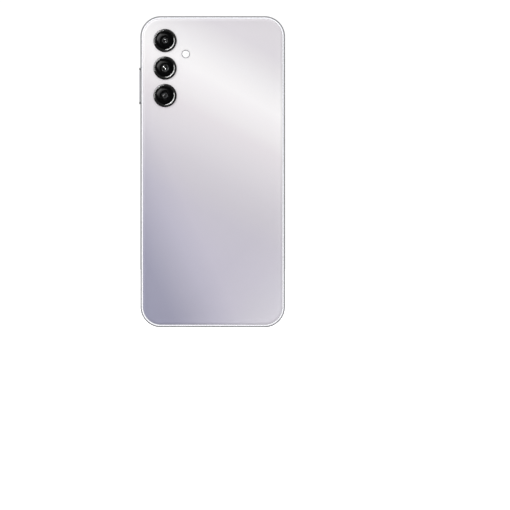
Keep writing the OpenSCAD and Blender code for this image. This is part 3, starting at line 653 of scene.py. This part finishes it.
def rail_piece():
    """Side rail with a bright chamfer, and openings for the keys, tray, sockets, speaker and microphones."""
    lip = GLASS_INSET - 0.1
    seam = COVER_INSET - 0.05
    yb, yf = Y_BACK, Y_FRONT
    prof = [(0.0, yf - 1.1)]
    prof += arc((0.0, yf - 1.1), (0.8, yf - 0.31), 0.16, 8)[1:]
    prof += [(lip, yf - 0.3), (lip, Y_GLASS - 0.15), (WALL, Y_GLASS - 0.15), (WALL, Y_COVER + 0.15),
             (seam, Y_COVER + 0.15), (seam, yb + 0.64), (seam - 0.08, yb + 0.54), (seam - 0.09, yb + 0.42),
             (0.98, yb + 0.69), (0.93, yb + 0.72)]
    prof += arc((0.93, yb + 0.72), (0.0, yb + 1.68), 0.09, 10)[1:]
    obj = sweep("side_rail", prof, smooth_deg=28)
    cutters = []

    def slot_x(side, node_lo, node_hi, gap, edge, r, depth=4.0):
        """Slot through the left or right wall round a box, with a softened mouth."""
        cy, cz = mid(node_lo, node_hi, "y"), mid(node_lo, node_hi, "z")
        ha, hb = (node_hi[1] - node_lo[1]) / 2 + gap, (node_hi[2] - node_lo[2]) / 2 + gap
        r = min(r + gap, ha - 0.01)
        mouth = side * HALF_W
        rows = [(round_rect(ha + edge, hb + edge, r + edge), 0.5),
                (round_rect(ha + edge, hb + edge, r + edge), 0.0),
                (round_rect(ha, hb, r), -edge), (round_rect(ha, hb, r), -depth)]
        return loft("c", rows, lambda a, b, h: (mouth + side * h, cy + a, cz + b))

    vlo, vhi = box_mm("volume_key")
    cutters.append(slot_x(-1, (0, -1.6, vlo[2]), (0, 1.0, vhi[2]), 0.1, 0.08, 0.5))
    plo, phi = box_mm("power_key")
    pz0, pz1 = plo[2] + POWER_FLANGE, phi[2] - POWER_FLANGE
    cutters.append(slot_x(-1, (0, -1.6, pz0), (0, 1.0, pz1), 0.1, 0.0, 0.5))
    # shallow dished recess round the power key
    half = (pz1 - pz0) / 2 + 0.6
    cutters.append(loft("c", [(round_rect(1.78, half + 0.1, 1.2), 0.5), (round_rect(1.78, half + 0.1, 1.2), 0.0),
                              (round_rect(1.6, half - 0.12, 1.0), -0.24)],
                        lambda a, b, h: (-HALF_W - h, KEY_Y + a, (pz0 + pz1) / 2 + b)))
    tlo, thi = box_mm("sim_tray")
    cutters.append(slot_x(1, (0, tlo[1], tlo[2]), (0, thi[1], thi[2]), 0.14, 0.04, 1.1, depth=1.95))
    slo, shi = box_mm("sim_tray_seal")
    cutters.append(slot_x(1, (0, slo[1], slo[2]), (0, shi[1], shi[2]), 0.12, 0.0, 0.2))

    def port_z(outline_at, cx, cy, edge, up=False):
        """Opening in the bottom or top wall, with a softened mouth."""
        mouth = BODY_H if up else 0.0
        s = 1 if up else -1
        rows = [(outline_at(edge), 0.6), (outline_at(edge), 0.0), (outline_at(0), -edge), (outline_at(0), -3.6)]
        return loft("c", rows, lambda a, b, h: (cx + a, cy + b, mouth + s * h))

    ulo, uhi = box_mm("usb_shell")
    uy = mid(ulo, uhi, "y")
    cutters.append(port_z(lambda e: stadium((uhi[0] - ulo[0]) / 2 + 0.1 + e, (uhi[1] - ulo[1]) / 2 + 0.1 + e),
                          0.0, uy, 0.18))
    jlo, jhi = box_mm("headphone_jack")
    cutters.append(port_z(lambda e: circle(1.85 + e, 64), mid(jlo, jhi, "x"), mid(jlo, jhi, "y"), 0.2))

    def small(r, cx, up=False):
        return port_z(lambda e: circle(r + e, 32), cx, uy, 0.08, up)

    sx = mid(*box_mm("speaker_mesh"), "x")
    for i in range(6):
        cutters.append(small(0.6, sx + (i - 2.5) * 2.6))
    cutters.append(small(0.5, mid(*box_mm("bottom_microphone"), "x")))
    cutters.append(small(0.5, mid(*box_mm("top_microphone"), "x"), up=True))
    # hole for the ejector rod, behind the tray
    elo, ehi = box_mm("eject_plunger")
    cutters.append(plug(0.7, HALF_W - 4, HALF_W - 1, (0, mid(elo, ehi, "y"), mid(elo, ehi, "z")), "x", 32))
    cut(obj, cutters, 28)
    return piece(obj, "phone", "silver_frame", "mid_frame", material=M["rail"])


# ---------- camera rings, windows and lenses ----------

def ring_piece(which):
    """Raised ring with a polished crest and a bright outer chamfer."""
    node = which + "_camera_ring"
    centre, r = round_part(node)
    top = box_mm(node)[0][1]
    prof = [(4.25, Y_COVER), (4.25, Y_BACK - 0.1), (4.78, Y_BACK - 0.1), (4.78, top + 0.36)]
    prof += arc((4.82, top + 0.33), (r - 0.87, top + 0.03), 0.02, 4)
    prof += [(r - 0.84, top), (r - 0.79, top), (r - 0.77, top + 0.01)]
    prof += arc((r - 0.77, top + 0.01), (r - 0.17, top + 0.36), 0.01, 4)[1:]
    prof += [(r, top + 0.57), (r, Y_BACK - 0.002), (r - 0.85, Y_BACK - 0.002), (r - 0.85, Y_COVER)]
    obj = lathe(which + "_ring", prof, centre, smooth_deg=20)
    return piece(obj, "phone", "black_ring", node, material=M["ring"])


def window_piece(which):
    """Cover window with a flat clear centre, and a black printed border that curves down to the ring."""
    node = which + "_camera_glass"
    centre, r = round_part(node)
    y0, y1 = (corner[1] for corner in box_mm(node))
    clear_r = 2.5
    clear = lathe(which + "_window", [(0, y0), (clear_r, y0), (clear_r, y1), (0, y1)], centre, closed=False)
    piece(clear, "phone", "camera_window", node, material=M["window"])
    crown = arc((clear_r, y0), (r - 0.04, y1 - 0.12), -0.05, 14)
    border = lathe(which + "_window_border", crown + [(r, y1 - 0.1), (r, y1), (clear_r, y1)], centre)
    piece(border, "phone", "camera_window", material=M["border"])


BOWL_TOP = Y_BACK - 0.05


def module_base(centre, lo, hi):
    """Square camera body, centred on its lens."""
    cx, cy, cz = centre
    outline = round_rect(cx - lo[0], cx - lo[0], 0.5)
    return loft("base", [(outline, Y_COVER + 0.1), (outline, hi[1])], lambda a, b, h: (cx + a, cy + h, cz + b))


def lens_stack(which, body, centre, retainer, waist, dome_r, bulges, top, glass):
    """Grey retainer ring, and a coated element that is domed outside and dished inside the waist radius."""
    r0, r1 = retainer
    ring = lathe(which + "_retainer", [(r0, top + 0.06), (r0 + 0.06, top), (r1 - 0.06, top), (r1, top + 0.06),
                                       (r1, top + 0.5), (r0, top + 0.5)], centre)
    piece(ring, body, "module", material=M["lens_ring"])
    dish = arc((0, top + 0.06 + waist * 0.22), (waist, top + 0.06), bulges[0], 6)
    dome = arc((waist, top + 0.06), (dome_r, top + 0.34), -bulges[1], 8)
    front = lathe(which + "_front_element", dish + dome[1:] + [(dome_r, top + 0.5), (0, top + 0.5)], centre,
                  closed=False)
    piece(front, body, "camera_window", material=M[glass])


def fixed_camera(which, node):
    """Camera body with a flat tail, and a turret whose front steps down to the lens."""
    lo, hi = box_mm(node)
    centre = round_part(which + "_camera_glass")[0]
    cx, cz = centre[0], centre[2]
    turret = lathe("turret", [
        (0, BOWL_TOP + 0.45), (1.85, BOWL_TOP + 0.45), (1.95, BOWL_TOP + 0.22), (2.3, BOWL_TOP + 0.22),
        (2.4, BOWL_TOP + 0.1), (2.75, BOWL_TOP + 0.1), (3.0, BOWL_TOP), (3.08, BOWL_TOP), (3.2, BOWL_TOP + 0.12),
        (3.2, Y_COVER + 0.3), (0, Y_COVER + 0.3)], centre, closed=False)
    tail = boxed("tail", (cx, hi[1] - 0.2, cz - 1.5), (hi[0], hi[1], cz + 1.5), 0.05)
    body = joined(which + "_camera_body", [module_base(centre, lo, hi), turret, tail])
    piece(body, "phone", "module", node, material=M["baffle"])
    lens_stack(which, "phone", centre, (1.2, 1.44), 0.55, 1.1, (0.1, 0.12), BOWL_TOP + 0.1, "lens")


def focusing_camera():
    """Main camera: a fixed body and collar, and a barrel that moves in it."""
    lo, hi = box_mm("main_camera_housing")
    blo, bhi = box_mm("main_camera_barrel")
    centre = round_part("main_camera_barrel")[0]
    cx, cz = centre[0], centre[2]
    base = module_base(centre, lo, hi)
    collar = lathe("collar", [(3.28, BOWL_TOP + 0.08), (3.36, BOWL_TOP), (3.98, BOWL_TOP), (4.1, BOWL_TOP + 0.12),
                              (4.1, Y_COVER + 0.3), (3.28, Y_COVER + 0.3)], centre)
    cut(base, [plug(3.28, Y_COVER - 1, bhi[1] + 0.5, centre)])
    tail = boxed("tail", (2 * cx - lo[0] - 1, hi[1] - 2.3, cz - 2.5), (hi[0], hi[1] - 2.1, cz + 2.5), 0.05)
    piece(joined("main_camera_body", [base, collar, tail]), "phone", "module", "main_camera_housing",
          material=M["baffle"])
    top = blo[1]
    barrel = lathe("main_lens_barrel", [
        (0, top + 0.5), (2.25, top + 0.5), (2.3, top + 0.22), (2.5, top + 0.2), (2.6, top + 0.06), (2.85, top),
        (3.1, top), (3.2, top + 0.1), (3.2, bhi[1]), (0, bhi[1])], centre, closed=False)
    piece(barrel, "camera_barrel", "lens_black", "main_camera_barrel", material=M["baffle"])
    lens_stack("main", "camera_barrel", centre, (1.6, 1.85), 0.6, 1.5, (0.031, 0.05), top + 0.02, "main_lens")


rear_cover_piece()
rail_piece()
for which in ("upper", "main", "lower"):
    ring_piece(which)
    window_piece(which)
fixed_camera("upper", "depth_camera")
fixed_camera("lower", "macro_camera")
focusing_camera()


# ---------- flash ----------

def flash_pieces():
    """Ribbed clear window, its grey rim, and the reflector cup behind it."""
    centre, r = round_part("flash_lens")
    r -= 0.5
    top = box_mm("flash_lens")[0][1] + 0.01
    prof = [(0, top)]
    rings = 5
    for i in range(rings):
        a = (r - 0.35) * (i + 0.55) / rings
        b = (r - 0.35) * (i + 1) / rings
        prof += [(a, top + 0.01), (b - 0.03, top + 0.07), (b, top + 0.01)]
    prof += [(r - 0.36, top + 0.01), (r - 0.36, Y_COVER + 0.01), (r + 0.5, Y_COVER + 0.01),
             (r + 0.5, Y_COVER + 0.29), (0, Y_COVER + 0.29)]
    lens = lathe("flash_window", prof, centre, closed=False, smooth_deg=25)
    piece(lens, "phone", "clear_lens", "flash_lens", material=M["clear"])
    rim = lathe("flash_rim", [(r - 0.35, top + 0.02), (r - 0.1, top), (r - 0.02, top + 0.06), (r - 0.02, Y_COVER),
                              (r - 0.35, Y_COVER)], centre)
    piece(rim, "phone", "clear_lens", material=M["rim"])
    cup = lathe("flash_reflector", [(r + 0.4, Y_COVER + 0.32), (r - 0.1, Y_COVER + 0.32), (1.2, -2.75),
                                    (1.2, -2.72), (r + 0.4, -2.72)], centre)
    piece(cup, "phone", "led", material=M["led"])


flash_pieces()


# ---------- keys ----------

def key_bar(name, z0, z1, outer, inner, half_y, crown):
    """Long key with a crowned face and rounded ends."""
    cz, half_z = (z0 + z1) / 2, (z1 - z0) / 2
    rows = []
    for t in range(0, 7):
        a = math.radians(90 * t / 6)
        inset = crown * (1 - math.sin(a))
        rows.append((round_rect(half_y - inset, half_z - inset, max(0.62 - inset * 0.4, 0.1)),
                     outer + crown * math.cos(a)))
    rows = sorted(rows, key=lambda row: row[1])
    rows.append((round_rect(half_y, half_z, 0.62), inner))
    return loft(name, rows, lambda a, b, h: (h, KEY_Y + a, cz + b))


def key_nub(inner, tip, z):
    """Round post on the inside of a key, which presses its dome."""
    return lathe("nub", [(0, inner - 0.1), (0.8, inner - 0.1), (0.8, tip - 0.15), (0.65, tip), (0, tip)],
                 (0, KEY_Y, z), axis="x", steps=32, closed=False)


def key_flange(x0, z0, z1):
    """Plate inside the rail that keeps a key from falling out."""
    return boxed("flange", (x0, -2.05, z0), (x0 + 0.5, 1.45, z1), 0.08)


def keys():
    lo, hi = box_mm("volume_key")
    inner = -HALF_W + WALL + 0.2
    bar = key_bar("bar", lo[2] + 0.9, hi[2] - 0.9, lo[0], inner, 1.3, 0.35)
    zc = mid(lo, hi, "z")
    # dark blocks at the key's two ends, a painted shadow for the gap between the key and the rail
    shadow_ends = [loft("tip", [(round_rect(1.16, 0.5, 0.5), lo[0] + 0.03), (round_rect(1.28, 0.61, 0.6), lo[0] + 0.14),
                         (round_rect(1.28, 0.61, 0.6), lo[0] + 1.5)],
                 lambda a, b, h, z=z: (h, KEY_Y + a, z + b)) for z in (lo[2] + 0.62, hi[2] - 0.62)]
    piece(joined("volume_key_shadow_ends", shadow_ends), "volume_key", "silver_frame", material=M["rubber"])
    nubs = [key_nub(inner, hi[0], zc + s * 6.2) for s in (-1, 1)]
    vol = joined("volume_button", [bar, key_flange(inner - 0.05, zc - 4, zc + 4), *nubs])
    piece(vol, "volume_key", "silver_frame", "volume_key", material=M["key"])

    lo, hi = box_mm("power_key")
    z0, z1 = lo[2] + POWER_FLANGE, hi[2] - POWER_FLANGE
    bar = key_bar("bar", z0, z1, lo[0], inner, 1.3, 0.12)
    zc = (z0 + z1) / 2
    outline = round_rect(1.06, (z1 - z0) / 2 - 0.39, 0.6)
    cut(bar, [loft("c", [(outline, lo[0] - 0.5), (outline, lo[0] + 0.4)], lambda a, b, h: (h, KEY_Y + a, zc + b))])
    power = joined("power_button", [bar, key_flange(inner - 0.1, lo[2], hi[2]), key_nub(inner, hi[0], zc)])
    piece(power, "power_key", "silver_frame", "power_key", material=M["rail"])
    lo, hi = box_mm("fingerprint_sensor")
    cap = key_bar("fingerprint_cap", lo[2], hi[2], lo[0], hi[0], (hi[1] - lo[1]) / 2, 0.08)
    piece(cap, "power_key", "sensor", "fingerprint_sensor", material=M["sensor"])


keys()


# ---------- screen ----------

def screen_pieces():
    """Cover glass with its hole and slit, the front camera's window and the earpiece grille."""
    d = GLASS_INSET
    prof = [(d, Y_GLASS), (d, Y_FRONT - 0.3)]
    prof += arc((d, Y_FRONT - 0.3), (d + 1.1, Y_FRONT - 0.002), 0.074, 10)[1:]
    prof += [(d + 3, Y_FRONT - 0.001), (CORNER - 1.5, Y_FRONT - 0.001)]
    glass = sweep("screen_cover", prof, closed=False)
    mlo, mhi = box_mm("earpiece_mesh")
    zc, hz = mid(mlo, mhi, "z"), (mhi[2] - mlo[2]) / 2
    outline = stadium(mhi[0] + 0.04, hz + 0.04)
    slit = loft("c", [(outline, Y_GLASS - 1), (outline, Y_FRONT + 1)], lambda a, b, h: (a, h, zc + b))
    cam_z = box_mm("front_camera")[1][2] - 3.0
    cut(glass, [slit, plug(1.75, Y_GLASS - 1, Y_FRONT + 1, (0, 0, cam_z))])
    piece(glass, "phone", "screen_glass", "cover_glass", material=M["screen"])
    dot = lathe("front_lens_window", [(0, Y_FRONT - 0.16), (0.7, Y_FRONT - 0.12), (0.95, Y_FRONT - 0.05),
                                      (1.68, Y_FRONT - 0.01), (1.74, Y_FRONT - 0.03), (1.74, Y_GLASS + 0.02),
                                      (0, Y_GLASS + 0.02)], (0, 0, cam_z), closed=False)
    piece(dot, "phone", "screen_glass", material=M["lens"])
    grille = loft("earpiece_grille", [(stadium(mhi[0], hz), mlo[1] + 0.02), (stadium(mhi[0], hz), mhi[1] - 0.06),
                                      (stadium(mhi[0] - 0.06, hz - 0.06), mhi[1])],
                  lambda a, b, h: (a, h, zc + b))
    piece(grille, "phone", "mesh", "earpiece_mesh", material=M["mesh"])


screen_pieces()


# ---------- card tray ----------

def tray_piece():
    """Card tray: a head flush with the rail, and a plate with two card openings."""
    lo, hi = box_mm("sim_tray")
    cy, cz = mid(lo, hi, "y"), mid(lo, hi, "z")
    ha, hb = (hi[1] - lo[1]) / 2, (hi[2] - lo[2]) / 2
    back = hi[0] - 1.9
    head = loft("tray_head", [(round_rect(ha, hb, 1.1), back), (round_rect(ha, hb, 1.1), hi[0] - 0.12),
                              (round_rect(ha - 0.04, hb - 0.04, 1.06), hi[0] - 0.04),
                              (round_rect(ha - 0.12, hb - 0.12, 0.98), hi[0])],
                lambda a, b, h: (h, cy + a, cz + b))
    hole_z = mid(*box_mm("eject_plunger"), "z")
    cut(head, [lathe("c", [(0, back - 1), (0.5, back - 1), (0.5, hi[0] - 0.1), (0.62, hi[0] + 0.02),
                           (0.62, hi[0] + 1), (0, hi[0] + 1)], (0, cy, hole_z), axis="x", steps=48,
                     closed=False)])
    slo, shi = box_mm("sim_tray_seal")
    z0, z1 = slo[2] + 0.3, shi[2] - 0.3
    zc, hz = (z0 + z1) / 2, (z1 - z0) / 2

    def flat(name, x, half_x, z, half_z, r, half_y):
        outline = round_rect(half_x, half_z, r)
        return loft(name, [(outline, -half_y), (outline, half_y)], lambda a, b, h: (x + a, cy + h, z + b))

    x0 = lo[0]
    plate = flat("tray_plate", (x0 + back) / 2 + 0.1, (back - x0) / 2 + 0.1, zc, hz, 0.8, 0.4)
    sim_x = x0 + 0.8
    mem_x = sim_x + 9.7
    cut(plate, [flat("c", sim_x + 4.45, 4.45, zc, hz - 0.5, 0.6, 1),
                flat("c", mem_x + 7.55, 7.55, zc - 0.6, hz - 1.2, 0.6, 1)])
    bevel(plate, 0.08, 2)
    piece(joined("card_tray", [head, plate]), "sim_tray", "silver_frame", "sim_tray", material=M["rail"])


tray_piece()


# ---------- sockets ----------

def socket_pieces():
    """USB-C sleeve, blade and contacts, and the headphone socket with its sleeve."""
    lo, hi = box_mm("usb_shell")
    cy = mid(lo, hi, "y")
    hw, ht = (hi[0] - lo[0]) / 2, (hi[1] - lo[1]) / 2
    leaf = 0.3
    rows = [(stadium(hw, ht), hi[2]), (stadium(hw, ht), lo[2] + 0.08), (stadium(hw - 0.08, ht - 0.08), lo[2]),
            (stadium(hw - leaf + 0.06, ht - leaf + 0.06), lo[2]), (stadium(hw - leaf, ht - leaf), lo[2] + 0.08),
            (stadium(hw - leaf, ht - leaf), hi[2] - 0.3)]
    shell = loft("usb_sleeve", rows, lambda a, b, h: (a, cy + b, h))
    piece(shell, "phone", "bright_steel", "usb_shell", material=M["bright"])
    tlo, thi = box_mm("usb_tongue")
    tongue = boxed("usb_blade", tlo, thi, 0.12)
    piece(tongue, "phone", "module", "usb_tongue", material=M["module"])
    pads = []
    for side in (-1, 1):
        for i in range(12):
            x = (i - 5.5) * 0.5
            y = cy + side * 0.345
            pads.append(boxed("pad", (x - 0.13, y - 0.02, tlo[2] + 0.35), (x + 0.13, y + 0.02, tlo[2] + 4.2), 0.01))
    piece(joined("usb_contacts", pads), "phone", "bright_steel", material=M["gold"])

    lo, hi = box_mm("headphone_jack")
    cx, cy = mid(lo, hi, "x"), mid(lo, hi, "y")
    block = boxed("jack_block", lo, hi, 0.25)
    cut(block, [lathe("c", [(0, -1), (1.95, -1), (1.95, lo[2]), (1.8, lo[2] + 0.15), (1.8, hi[2] - 0.5),
                            (0, hi[2] - 0.5)], (cx, cy, 0), axis="z", steps=64, closed=False)])
    piece(block, "phone", "module", "headphone_jack", material=M["module"])
    sleeve = lathe("jack_sleeve", [(1.79, lo[2] + 0.3), (1.68, lo[2] + 0.4), (1.68, lo[2] + 2.4), (1.79, lo[2] + 2.5)],
                   (cx, cy, 0), axis="z", steps=64)
    piece(sleeve, "phone", "bright_steel", material=M["bright"])


socket_pieces()


# ---------- stage, lights and camera ----------

def add_floor():
    """Plain white floor: evenly white to the camera, and pale grey to the light that falls on it."""
    size = 12.0
    mesh = bpy.data.meshes.new("floor")
    mesh.from_pydata([(-size, -size, 0), (size, -size, 0), (size, size, 0), (-size, size, 0)], [], [(0, 1, 2, 3)])
    floor = bpy.data.objects.new("floor", mesh)
    floor.location = (0, 0, -0.0002)
    bpy.context.scene.collection.objects.link(floor)
    mat = bpy.data.materials.new("floor_white")
    mat.use_nodes = True
    t = mat.node_tree
    t.nodes.clear()
    out = t.nodes.new("ShaderNodeOutputMaterial")
    add = t.nodes.new("ShaderNodeAddShader")
    path = t.nodes.new("ShaderNodeLightPath")
    diff = t.nodes.new("ShaderNodeBsdfDiffuse")
    diff.inputs["Color"].default_value = (0.6, 0.6, 0.6, 1)
    emit = t.nodes.new("ShaderNodeEmission")
    t.links.new(path.outputs["Is Camera Ray"], emit.inputs["Strength"])
    t.links.new(diff.outputs[0], add.inputs[0])
    t.links.new(emit.outputs[0], add.inputs[1])
    t.links.new(add.outputs[0], out.inputs["Surface"])
    mesh.materials.append(mat)
    # the metal reflects the studio walls, not the floor
    floor.visible_glossy = False


add_floor()

scene = bpy.context.scene

# Studio walls seen in reflections, from in front of the screen (0) to behind the back cover (1), and how
# bright each is: one bright band lights the rail's chamfer.
WALLS = [(0.0, 0.38), (0.5, 0.4), (0.55, 0.1), (0.64, 0.1), (0.67, 0.4), (0.69, 1.8), (0.74, 1.8), (0.76, 0.2),
         (1.0, 0.12)]
BACKDROP = 1.05   # strength of the white that the camera sees
DOME = 1.01       # strength of the even light on matt surfaces


def add_world():
    """White backdrop for the camera, an even dome for matt surfaces, and studio walls for reflections."""
    world = bpy.data.worlds.new("studio")
    scene.world = world
    world.use_nodes = True
    tree = world.node_tree
    tree.nodes.clear()
    link = tree.links.new

    def background(strength):
        n = tree.nodes.new("ShaderNodeBackground")
        n.inputs["Color"].default_value = (1, 1, 1, 1)
        n.inputs["Strength"].default_value = strength
        return n

    seen, dome, walls = background(BACKDROP), background(DOME), background(1.0)
    direction = tree.nodes.new("ShaderNodeTexCoord")
    split = tree.nodes.new("ShaderNodeSeparateXYZ")
    span = tree.nodes.new("ShaderNodeMapRange")
    span.inputs["From Min"].default_value = 1.0
    span.inputs["From Max"].default_value = -1.0
    ramp = tree.nodes.new("ShaderNodeValToRGB")
    while len(ramp.color_ramp.elements) < len(WALLS):
        ramp.color_ramp.elements.new(0.5)
    for e, (pos, level) in zip(ramp.color_ramp.elements, WALLS):
        e.position = pos
        e.color = (level, level, level, 1)
    link(direction.outputs["Generated"], split.inputs[0])
    link(split.outputs["Y"], span.inputs["Value"])
    link(span.outputs["Result"], ramp.inputs["Fac"])
    link(ramp.outputs["Color"], walls.inputs["Color"])

    path = tree.nodes.new("ShaderNodeLightPath")

    def choose(ray, no, yes):
        mix = tree.nodes.new("ShaderNodeMixShader")
        link(path.outputs[ray], mix.inputs["Fac"])
        link(no.outputs[0], mix.inputs[1])
        link(yes.outputs[0], mix.inputs[2])
        return mix

    lit = choose("Is Diffuse Ray", walls, dome)
    out = tree.nodes.new("ShaderNodeOutputWorld")
    link(choose("Is Camera Ray", lit, seen).outputs[0], out.inputs["Surface"])


add_world()


def area(name, where, look_at, size_x, size_y, power, along, gloss):
    """Rectangular light, its long side laid along a direction. It lights either gloss or matt surfaces."""
    data = bpy.data.lights.new(name, "AREA")
    data.shape = "RECTANGLE"
    data.size = size_x
    data.size_y = size_y
    data.energy = power
    obj = bpy.data.objects.new(name, data)
    z = (Vector(where) - Vector(look_at)).normalized()
    x = Vector(along)
    x = (x - z * x.dot(z)).normalized()
    y = z.cross(x)
    obj.matrix_world = Matrix((
        (x[0], y[0], z[0], where[0]), (x[1], y[1], z[1], where[1]),
        (x[2], y[2], z[2], where[2]), (0, 0, 0, 1)))
    obj.visible_camera = False
    obj.visible_diffuse = not gloss
    obj.visible_glossy = gloss
    scene.collection.objects.link(obj)
    return obj


centre = (0, 0, MID_Z * MM)
DIAGONAL = (1, 0, 1)
area("key", (-0.9, -1.1, 0.9), centre, 1.2, 0.8, 12.0, DIAGONAL, gloss=False)
gloss_lights = [area("glow", (-0.55, -1.1, 0.5), centre, 0.6, 0.36, 4.8, DIAGONAL, gloss=True),
                area("glow_low", (-0.25, -1.15, 0.36), centre, 0.5, 0.36, 2.0, DIAGONAL, gloss=True)]
# strips round the cameras' upper left, each a turn in degrees and a power, which light the ring chamfers
STRIPS = ((4, 24.0), (38, 40.0), (66, 36.0))
STRIP_OFF = math.radians(54)   # angle between a strip and the straight line out of the cameras
STRIP_RANGE = 1.3
lens_at = Vector((-0.0257, 0, 0.14))
for k, (turn, power) in enumerate(STRIPS):
    a = math.radians(turn)
    where = lens_at + STRIP_RANGE * Vector((-math.cos(a) * math.sin(STRIP_OFF), -math.cos(STRIP_OFF),
                                            math.sin(a) * math.sin(STRIP_OFF)))
    gloss_lights.append(area("strip_%d" % k, where, lens_at, 0.66, 0.2, power, (math.sin(a), 0, math.cos(a)),
                             gloss=True))
spark = area("spark", lens_at + Vector((-0.39, -1.1, 0.39)), lens_at, 0.22, 0.22, 24.0, DIAGONAL, gloss=True)
# the gloss lights fall on the camera optics only, and the spark only on the main camera's front element
optics = bpy.data.collections.new("optics")
for obj in scene.objects:
    if obj.name.endswith(("_ring", "_window", "_window_border", "_retainer", "_front_element")):
        optics.objects.link(obj)
for light in gloss_lights:
    light.light_linking.receiver_collection = optics
main_optics = bpy.data.collections.new("main_optics")
main_optics.objects.link(bpy.data.objects["main_front_element"])
spark.light_linking.receiver_collection = main_optics

DISTANCE = 3.0        # camera to back cover, in metres
FRAME_MM = 274.7      # width of the view at the back cover
AIM_RIGHT = 22.784    # how far the middle of the view lies from the middle of the phone
AIM_DOWN = 44.868
SENSOR = 36.0
cam_data = bpy.data.cameras.new("camera")
cam_data.sensor_width = SENSOR
cam_data.lens = SENSOR * (DISTANCE / (FRAME_MM * MM))
cam_data.clip_start = 0.05
cam_data.clip_end = 60
cam = bpy.data.objects.new("camera", cam_data)
cam.location = (AIM_RIGHT * MM, Y_BACK * MM - DISTANCE, (MID_Z - AIM_DOWN) * MM)
cam.rotation_euler = (math.radians(90), 0, 0)
scene.collection.objects.link(cam)
scene.camera = cam

scene.view_settings.view_transform = "Standard"
scene.view_settings.look = "None"
scene.view_settings.exposure = 0.0
scene.view_settings.gamma = 1.0
